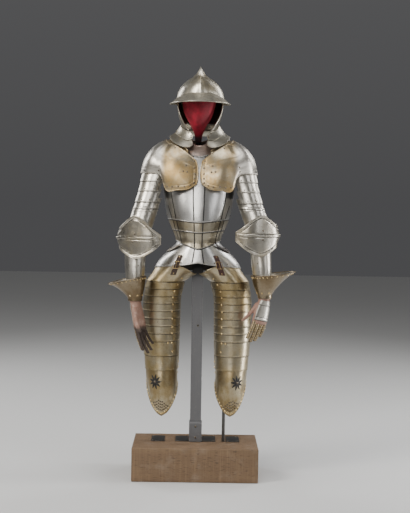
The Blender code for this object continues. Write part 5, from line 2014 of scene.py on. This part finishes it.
        # painted shadow at the wrist lame's step and on both sides of the knuckle roll
        shadows = [self.inked(plate, level(-HAND_PLATE_REACH + 2, HAND_PLATE_REACH - 2, 50, s),
                          middle, PLATE_STEPS, 0.0014) for s in (0.0315, 0.0762, 0.0868)]
        self.put(joined(shadows), "hand_shadow_lines", SHADOW_AND_STAR, body)

    def finger_scales(self, scales: list[Mesh], row: Any,
                      heads: list[tuple[Vector, Vector]]) -> None:
        """Overlapping riveted scales on the back of one finger.

        Args:
            scales: The scales, which it adds to.
            row: The finger.
            heads: The rivets' places, which it adds to.
        """
        tube_of = self.lifted(finger(self.side.value, row))
        marks = spread(0.03, 0.95, self.scales)
        centre = [(tube_of(90.0, s) + tube_of(270.0, s)) / 2 for s in marks]
        for i, (low, high) in enumerate(zip(marks, marks[1:])):
            def scale(degrees: float, share: float, low: float = low, high: float = high) -> Vector:
                """Point of a scale."""
                reach = high + 0.18 * (high - low) * (1 - abs(degrees - 90.0) / 80.0)
                s = min(low + (reach - low) * share, 0.97)
                axis = (tube_of(90.0, s) + tube_of(270.0, s)) / 2
                way = tube_of(degrees, s) - axis
                return axis + way.normalized() * (way.length + 0.0008 + 0.0011 * share)
            heads += [facing(scale, degrees, 0.72, centre[i], (2.0, 0.05)) for degrees in (50.0, 130.0)]
            piece = sheet(scale, spread(10.0, 170.0, 14), spread(0.0, 1.0, 4), 0.003)
            self.outwards(piece, centre[i])
            scales.append(piece)


@dataclass
class LegArmour(SubAssembly):
    """Hip plate, lames, knee cop with its star, and the buckled strap, of one side."""

    columns: int = 84
    rivet_places: tuple[Pair, ...] = (
        (0.068, 0.877), (0.086, 0.85), (0.099, 0.821), (0.105, 0.794), (0.105, 0.763), (0.108, 0.731),
        (0.107, 0.7), (0.107, 0.664), (0.107, 0.636), (0.108, 0.594), (0.124, 0.594), (0.105, 0.555),
    )
    star: Pair = (0.179, 0.425)
    star_reach: float = 0.031
    rays: int = 9

    def build(self) -> None:
        """Makes the leg."""
        self.hip_plate()
        self.lames()
        self.knee()
        self.strap()

    def hip_plate(self) -> None:
        """Plate under the fauld with its turned brow."""
        angles = spread(LEG_INNER_EDGE, LEG_OUTER_EDGE, self.columns)
        self.plate("hip_plate", hip, angles, spread(0.0, 1.0, 30), HIP_INSIDE, LEG_STEEL)
        row = level(-94.0, 117.0, 120, 0.99)
        self.put(self.edge(hip, row, HIP_INSIDE, 0.0018, EDGE_SINK, SHARE_STEPS), "hip_edge", LEG_STEEL)

    def lames(self) -> None:
        """Lames of the thigh, each with its own lap and edge."""
        angles = spread(LEG_INNER_EDGE, LEG_OUTER_EDGE, self.columns)
        rolls, shadows = [], []
        for i, (first, last) in enumerate(LAME_GROUPS):
            group = []
            for n in range(first, last):
                top = LAME_HEIGHTS[n] + (LAP if n else -HIP_SEAM)
                bottom = LAME_HEIGHTS[n + 1]

                def surface(degrees: float, share: float, top: float = top, low: float = bottom) -> Vector:
                    """Point of one lame."""
                    return leg(degrees, (top + (low - top) * share, -STEP * (1 - share)))
                core = Vector((0.15, 0.0, (top + bottom) / 2))
                piece = sheet(surface, angles, spread(0.0, 1.0, 7 if top - bottom < 0.05 else 12))
                self.outwards(piece, core)
                group.append(piece)
                row = level(LEG_INNER_EDGE + 1, LEG_OUTER_EDGE - 1, 110, 0.985)
                rolls.append(self.edge(surface, row, core, 0.0016, 0.001, SHARE_STEPS, *THIN))
                # painted shadow just below the edge of the lame above
                row = [(a, (top - LAME_HEIGHTS[n] + 0.0024) / (top - bottom)) for a in angles[2:-2]]
                shadows.append(self.inked(surface, row, core, SHARE_STEPS, 0.0009))
            self.put(joined(group), f"leg_lames_{i + 1}", LEG_STEEL, tail="_plates",
                     node=f"leg_lames_{i + 1}", wall=self.wall)
        for angle in (LEG_INNER_EDGE + 0.8, LEG_OUTER_EDGE - 0.8):
            path = [(angle, z) for z in spread(0.855, 0.48, 200)]
            rolls.append(self.edge(thigh, path, Vector((0.15, 0, 0.6)), 0.0019, 0.0008, PLATE_STEPS, 0.0,
                                   PITCH, 6))
        self.put(joined(rolls), "leg_edges", LEG_STEEL)
        self.put(joined(shadows), "leg_lap_shadows", SHADOW_AND_STAR)
        places = []
        for x, z in self.rivet_places:
            on_hip = z > LAME_HEIGHTS[0]
            plate = hip if on_hip else thigh
            u, v = seek(plate, x, z, (-90.0, 60.0), (0.02, 0.98) if on_hip else (z - 0.002, z + 0.002))
            places.append(facing(plate, u, v, Vector((0.15, 0.0, z))))
        for z in (0.85, 0.82, 0.79, 0.76, 0.72, 0.69, 0.66, 0.63, 0.58, 0.52):
            places.append(facing(thigh, 108.0, z, Vector((0.15, 0.0, z))))
        self.put(studs(places, *LEG_RIVET), "leg_rivets", RIVET_GILT)

    def knee_surface(self, degrees: float, share: float) -> Vector:
        """Point of the knee cop, from its lower edge up, with its border line and raised border strip.

        Args:
            degrees: Angle from the front.
            share: Share from its lower edge to its upper.

        Returns:
            The point.
        """
        top = LAME_HEIGHTS[-1] + LAP
        bottom = edge_height(POLEYN_EDGE, degrees)
        z = bottom + (top - bottom) * share
        edge = z - bottom
        out = -STEP * share - 0.0009 * ridge(edge - 0.02, 0.0013) + 0.0007 * step(0.019 - edge, 0, 0.003)
        return leg(degrees, (z, out))

    def knee(self) -> None:
        """Knee cop with its star, its border and its rows of rivets."""
        core = Vector((0.15, 0.0, 0.4))
        steps = KNEE_STEPS
        angles = spread(LEG_INNER_EDGE, LEG_OUTER_EDGE, 90)
        self.plate("poleyn", self.knee_surface, angles, spread(0.0, 1.0, 52), core, KNEE_STEEL)
        row = level(LEG_INNER_EDGE + 1, LEG_OUTER_EDGE - 1, 200, 0.002)
        self.put(self.edge(self.knee_surface, row, core, 0.0026, EDGE_SINK, steps), "knee_edge", KNEE_STEEL)
        heads, small = [], []
        for angle in spread(-92.0, 112.0, 26):
            heads.append(self.above_edge(angle, 0.0085, core))
        for z in (0.504, 0.48, 0.456):
            heads.append(facing(self.cop if z < 0.47 else thigh, -91.0, z, core))
        for k in range(-4, 5):
            for rise in (0.024, 0.037, 0.05, 0.063):
                if abs(k) * 10 + (rise - 0.024) * 700 < 42:
                    small.append(self.above_edge(5.0 + k * 7.5, rise, core))
        self.put(studs(heads, *KNEE_RIVET), "knee_rivets", RIVET_GILT)
        self.put(studs(small, *KNEE_STUD), "knee_studs", RIVET_IRON)
        self.star_piece(core, steps)

    def above_edge(self, degrees: float, rise: float, core: Vector) -> tuple[Vector, Vector]:
        """Place above the knee cop's lower edge.

        Args:
            degrees: Angle from the front.
            rise: Metres above the edge.
            core: Point on its inner side.

        Returns:
            The point and its outward direction.
        """
        top = LAME_HEIGHTS[-1] + LAP
        bottom = edge_height(POLEYN_EDGE, degrees)
        return facing(self.knee_surface, degrees, rise / (top - bottom), core, KNEE_STEPS)

    def cop(self, degrees: float, z: float) -> Vector:
        """Point of the knee cop at an angle and a height."""
        bottom = edge_height(POLEYN_EDGE, degrees)
        return self.knee_surface(degrees, (z - bottom) / (LAME_HEIGHTS[-1] + LAP - bottom))

    def star_piece(self, core: Vector, steps: Pair) -> None:
        """Star of thin dark rays, laid on the knee cop.

        Args:
            core: Point on the cop's inner side.
            steps: Steps for its slopes.
        """
        u, v = seek(self.knee_surface, self.star[0], self.star[1], (-40.0, 80.0), (0.3, 0.95))
        hub, normal = facing(self.knee_surface, u, v, core, steps)
        side_way = (self.knee_surface(u + 2.0, v) - hub).normalized()
        up_way = normal.cross(side_way)
        rays = []
        for i in range(self.rays):
            turn = 2 * math.pi * i / self.rays

            def ray(across: float, along: float, turn: float = turn) -> Vector:
                """Point of a tapering ray that follows the cop."""
                half = 0.005 * math.sin(math.pi * (0.22 + along * 0.74)) * across
                reach = 0.003 + self.star_reach * along
                flat = side_way * (math.cos(turn) * reach - math.sin(turn) * half)
                flat += up_way * (math.sin(turn) * reach + math.cos(turn) * half)
                centre = Vector((core.x, 0.0, (hub + flat).z))
                guess = hub + flat
                degrees = math.degrees(math.atan2(guess.x - at(LEG, guess.z).centre, -guess.y * 0.75))
                best = min((self.cop(degrees + d, guess.z) for d in spread(-8.0, 8.0, 32)),
                           key=lambda p: (p - guess).length)
                return best + (best - centre).normalized() * 0.0006
            piece = sheet(ray, (-1.0, 0.0, 1.0), spread(0.0, 1.0, 12))
            self.outwards(piece, core)
            rays.append(piece)
        self.put(joined(rays), "knee_star", SHADOW_AND_STAR, wall=0.0012)
        self.put(studs([(hub, normal)], *STAR_BOSS), "knee_boss", RIVET_IRON)

    def strap(self) -> None:
        """Buckled leather strap from the fauld to the hip plate."""
        finish = RED_STRAP if self.side is Side.LEFT else STRAP

        def surface(across: float, down: float) -> Vector:
            """Outer face of the strap."""
            return moved_out(strap_path, across, down, STRAP_WALL + STRAP_SEAT, 0.05)
        self.plate("hip_strap", surface, spread(-1.0, 1.0, 10), spread(0.06, 0.94, 50), HIP_INSIDE,
                   finish, wall=STRAP_WALL)
        steps = (0.2, 0.05)
        loop = []
        for turn in spread(0.0, 360.0, 32):
            x, y = rounded(math.radians(turn), 0.4)
            loop.append(facing(surface, 1.3 * x, 0.46 + 0.13 * y, HIP_INSIDE, steps))
        loop[-1] = loop[0]
        pin = [(0.0, v) for v in spread(0.34, 0.6, 12)]
        buckle = [rolled([p + n * 0.0026 for p, n in loop], [n for _, n in loop], 0.0016),
                  self.edge(surface, pin, HIP_INSIDE, 0.0014, -0.0028, steps)]
        self.put(joined(buckle), "hip_buckle", BUCKLE_BRASS)
        heads = [facing(surface, 0.0, v, HIP_INSIDE, steps) for v in (0.13, 0.86)]
        self.put(studs(heads, *STRAP_RIVET), "strap_rivets", BUCKLE_BRASS)


@dataclass
class Stand(SubAssembly):
    """Oak block, iron inlays, post with its foot and pins, velvet head form and leg rod."""

    corner: float = 0.0035
    rod_x: float = 0.124
    rod_radius: float = 0.0072
    rod_route: tuple[Pair, ...] = (
        (0.012, 0.1473), (0.01, 0.29), (-0.006, 0.305), (-0.03, 0.325), (-0.06, 0.345),
    )

    def build(self) -> None:
        """Makes the stand and dresses the CAD nodes that stay."""
        self.block()
        self.inlays()
        self.post()
        self.head_form()
        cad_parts["post"].data.materials.clear()
        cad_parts["post"].data.materials.append(coated(POST_PAINT))
        log.info("post: kept from the CAD")
        self.leg_rod()

    def leg_rod(self) -> None:
        """Iron rod from the block up into the left knee cop."""
        line = [Vector((self.rod_x, y, z)) for y, z in self.rod_route]
        smooth = [line[0]]
        for low, high in zip(line, line[1:]):
            smooth += [low.lerp(high, i / 4) for i in range(1, 5)]
        self.put(rolled(smooth, [Vector((1.0, 0.0, 0.0))] * len(smooth), self.rod_radius, around=16), "rod",
                 INLAY_IRON, node="leg_rod")

    def bar(self, size: Sequence[float], centre: Sequence[float], ease: float,
            cuts: int = 1) -> Mesh:
        """A block with eased edges.

        Args:
            size: Its size.
            centre: Its centre.
            ease: Width of its bevels.
            cuts: Cuts along each face.

        Returns:
            The mesh.
        """
        work = bmesh.new()
        bmesh.ops.create_cube(work, size=1.0)
        bmesh.ops.scale(work, vec=size, verts=work.verts)
        bmesh.ops.translate(work, vec=centre, verts=work.verts)
        bmesh.ops.bevel(work, geom=work.edges[:], offset=ease, segments=3, profile=0.5, affect="EDGES",
                        material=-1)
        if cuts > 1:
            bmesh.ops.subdivide_edges(work, edges=work.edges[:], cuts=cuts, use_grid_fill=True)
        return work

    def block(self) -> None:
        """Oak block with softened, slightly worn edges."""
        x, y, z = BLOCK_SIZE
        work = self.bar((x, y, z), (0.0, BLOCK_BACK, z / 2), self.corner, 10)
        for vert in work.verts:
            if vert.co.z > 0.004:
                wave = math.sin(vert.co.x * 61.0) * math.sin(vert.co.x * 23.0 + vert.co.y * 17.0)
                vert.co.z -= 0.0004 * (1 + wave) * step(vert.co.z, 0.06, z)
        self.put(work, "oak_block", OAK, node="base_block")

    def inlays(self) -> None:
        """Four iron plates with their nail heads."""
        heads = []
        top = BLOCK_SIZE[2] + SEAT_GAP + INLAY_SIZE[2]
        for i, x in enumerate(INLAY_PLACES):
            centre = (x, INLAY_BACK, top - INLAY_SIZE[2] / 2)
            self.put(self.bar(INLAY_SIZE, centre, 0.0008), f"inlay_plate_{i + 1}", INLAY_IRON,
                     node=f"base_inlay_{i + 1}")
            for dx in (-0.021, 0.021):
                for dy in (-0.045, 0.045):
                    heads.append((Vector((x + dx, INLAY_BACK + dy, top)), UP))
        self.put(studs(heads, *INLAY_NAIL), "inlay_nails", RIVET_IRON)

    def post(self) -> None:
        """The foot sleeve with its screws, and the pin hole's bush."""
        floor = BLOCK_SIZE[2] + SEAT_GAP
        margin = 2 * (FOOT_WALL + SEAT_GAP)
        size = (POST_SIZE[0] + margin, POST_SIZE[1] + margin)
        corners = []
        for i in range(41):
            turn = 2 * math.pi * i / 40 + math.pi / 4
            x, y = rounded(turn, 0.12)
            corners.append(Vector((x * size[0] / 2, y * size[1] / 2 + POST_BACK, 0.0)))

        def sleeve(place: float, z: float) -> Vector:
            """Point of the sleeve."""
            return corners[round(place)] + Vector((0.0, 0.0, z))
        rows = [floor, floor + 0.001, *spread(floor + 0.01, FOOT_TOP - 0.01, 8), FOOT_TOP]
        work = sheet(sleeve, list(range(41)), rows)
        self.outwards(work, Vector((0.0, POST_BACK, (floor + FOOT_TOP) / 2)))
        self.put(work, "foot_sleeve", POST_PAINT, node="post_foot", wall=FOOT_WALL)
        front = POST_BACK - size[1] / 2
        heads = [(Vector((0.0, front, z)), AHEAD) for z in (FOOT_TOP - 0.022, floor + 0.02)]
        self.put(studs(heads, *FOOT_SCREW), "foot_screws", RIVET_IRON)
        face = POST_BACK - POST_SIZE[1] / 2
        x, z = PIN_PLACE
        ring = [Vector((x + BUSH_RADIUS * math.cos(a), face - 0.0004, z + BUSH_RADIUS * math.sin(a)))
                for a in (2 * math.pi * i / 24 for i in range(24))]
        ring.append(ring[0].copy())
        self.put(rolled(ring, [AHEAD] * 25, 0.0012), "pin_bush", RIVET_IRON)
        # flat near-black disc: painted shade of the pin hole
        self.put(studs([(Vector((x, face, z)), AHEAD)], *PIN_HOLE), "pin_hole_shade", HOLE_SHADE)

    def head_form(self) -> None:
        """Velvet form with a seam down its middle and soft hollows."""
        def surface(degrees: float, z: float) -> Vector:
            """Point of the form."""
            section = at(HEAD_FORM, z)
            wave = 0.0009 * math.sin(math.radians(degrees * 3) + z * 40) * math.sin(z * 63)
            fold = -0.0012 * ridge(((degrees + 180) % 360 - 180) / 2.2, 1.0)
            out = (wave + fold) * step(section.width, 0.0, 0.03)
            x, y = oval(section.width, section.front, section.back, degrees, out)
            return Vector((x, y, z)) + HEAD_CENTRE
        heights = [HEAD_FORM[0].z, 1.4712, *spread(HEAD_FORM[1].z, 1.743, 70), 1.747, HEAD_FORM[-1].z]
        work = sheet(surface, spread(0.0, 360.0, 96), heights)
        bmesh.ops.recalc_face_normals(work, faces=work.faces)
        self.put(work, "velvet_form", CRIMSON, node="head_form")


@dataclass
class Studio:
    """Pale floor, soft lights and the camera."""

    distance: float = 5.0
    camera_height: float = 1.2106
    tilt: float = 2.765
    roll: float = 0.9
    focal_pixels: float = 1138.0
    frame_size: tuple[int, int] = (410, 513)
    middle_pixel: float = 198.0
    floor_tone: float = 0.62

    def build(self) -> None:
        """Makes floor, world, lights and camera."""
        self.floor()
        self.world()
        for name, place, aim, size, power, tint in (
            ("front", (-1.3, -5.6, 2.9), (0.0, 0.0, 1.1), (3.2, 2.6), 145.0, (1.0, 0.985, 0.96)),
            ("key", (-3.0, -2.2, 3.4), (0.0, 0.0, 1.15), (1.2, 2.2), 150.0, (1.0, 0.97, 0.92)),
            ("fill", (3.2, -2.6, 2.4), (0.0, 0.0, 1.0), (0.8, 2.2), 24.0, (0.97, 0.98, 1.0)),
            ("strip", (3.0, 0.1, 1.3), (0.0, 0.0, 1.0), (0.6, 2.6), 75.0, (1.0, 1.0, 1.0)),
            ("rim", (2.6, 2.6, 3.0), (0.0, 0.0, 1.2), (1.2, 2.0), 60.0, (1.0, 1.0, 1.0)),
            ("back", (-2.8, 2.6, 2.6), (0.0, 0.0, 1.0), (1.2, 2.0), 60.0, (1.0, 1.0, 1.0)),
            ("top", (0.0, -0.6, 4.2), (0.0, 0.0, 1.0), (2.4, 1.4), 50.0, (1.0, 1.0, 1.0)),
        ):
            self.light(name, Vector(place), Vector(aim), size, power, tint)
        self.camera()

    def light(self, name: str, place: Vector, aim: Vector, size: Pair, power: float,
              tint: Colour) -> None:
        """One soft box.

        Args:
            name: Its name.
            place: Where it stands.
            aim: What it points at.
            size: Its width and height.
            power: Its power in watts.
            tint: Its colour.
        """
        lamp = bpy.data.lights.new(name, "AREA")
        lamp.shape = "RECTANGLE"
        lamp.size, lamp.size_y = size
        lamp.energy = power
        lamp.color = tint
        made = bpy.data.objects.new(name, lamp)
        made.location = place
        made.rotation_euler = (aim - place).to_track_quat("-Z", "Y").to_euler()
        bpy.context.scene.collection.objects.link(made)

    def floor(self) -> None:
        """Wide pale floor."""
        work = bmesh.new()
        bmesh.ops.create_grid(work, x_segments=1, y_segments=1, size=14.0)
        mesh = bpy.data.meshes.new("floor")
        work.to_mesh(mesh)
        work.free()
        look = Look("floor")
        cloud = look.noise(1.2, 4.0)
        tone = self.floor_tone
        look.set(Base_Color=look.mixed(cloud * 0.3, (tone, tone, tone * 0.99), (tone * 0.93,) * 3),
                 Roughness=0.75)
        mesh.materials.append(look.material)
        made = bpy.data.objects.new("floor", mesh)
        made.location.z = -0.0005
        bpy.context.scene.collection.objects.link(made)

    def world(self) -> None:
        """Soft grey surround, lighter above than at the sides."""
        world = bpy.data.worlds.new("studio")
        world.use_nodes = True
        bpy.context.scene.world = world
        tree = world.node_tree
        place = tree.nodes.new("ShaderNodeTexCoord")
        parts = tree.nodes.new("ShaderNodeSeparateXYZ")
        ramp = tree.nodes.new("ShaderNodeValToRGB")
        tree.links.new(place.outputs["Generated"], parts.inputs[0])
        tree.links.new(parts.outputs["Z"], ramp.inputs[0])
        tree.links.new(ramp.outputs[0], tree.nodes["Background"].inputs[0])
        ramp.color_ramp.elements[0].position = 0.0
        ramp.color_ramp.elements[0].color = (0.12, 0.12, 0.125, 1.0)
        ramp.color_ramp.elements[1].position = 0.9
        ramp.color_ramp.elements[1].color = (0.26, 0.26, 0.26, 1.0)
        tree.nodes["Background"].inputs[1].default_value = 0.62

    def camera(self) -> None:
        """Camera at the photograph's place, its middle column moved by a small shift."""
        wide, high = self.frame_size
        lens = bpy.data.cameras.new("camera")
        lens.sensor_fit = "VERTICAL"
        lens.sensor_height = 36.0
        lens.lens = 36.0 * self.focal_pixels / high
        lens.sensor_width = 36.0
        made = bpy.data.objects.new("camera", lens)
        bpy.context.scene.collection.objects.link(made)
        turn = math.atan((wide / 2 - self.middle_pixel) / self.focal_pixels)
        made.location = (0.0, -self.distance, self.camera_height)
        made.rotation_mode = "XYZ"
        upright = Matrix.Rotation(-turn, 4, "Z") @ Matrix.Rotation(math.radians(90.0 - self.tilt), 4, "X")
        made.matrix_world = (Matrix.Translation(made.location) @ upright
                             @ Matrix.Rotation(math.radians(self.roll), 4, "Z"))
        bpy.context.scene.camera = made


def main() -> None:
    """Builds the studio, the stand and every sub-assembly in order."""
    logging.basicConfig(level=logging.INFO, format="%(name)s %(message)s", force=True)
    studio = Studio()
    studio.build()
    parts = [Stand(), Burgonet(), Cuirass()]
    for side in Side:
        parts += [Arm(side=side), LegArmour(side=side)]
    for part in parts:
        log.info("building %s", type(part).__name__)
        part.build()


if __name__ == "__main__":
    main()
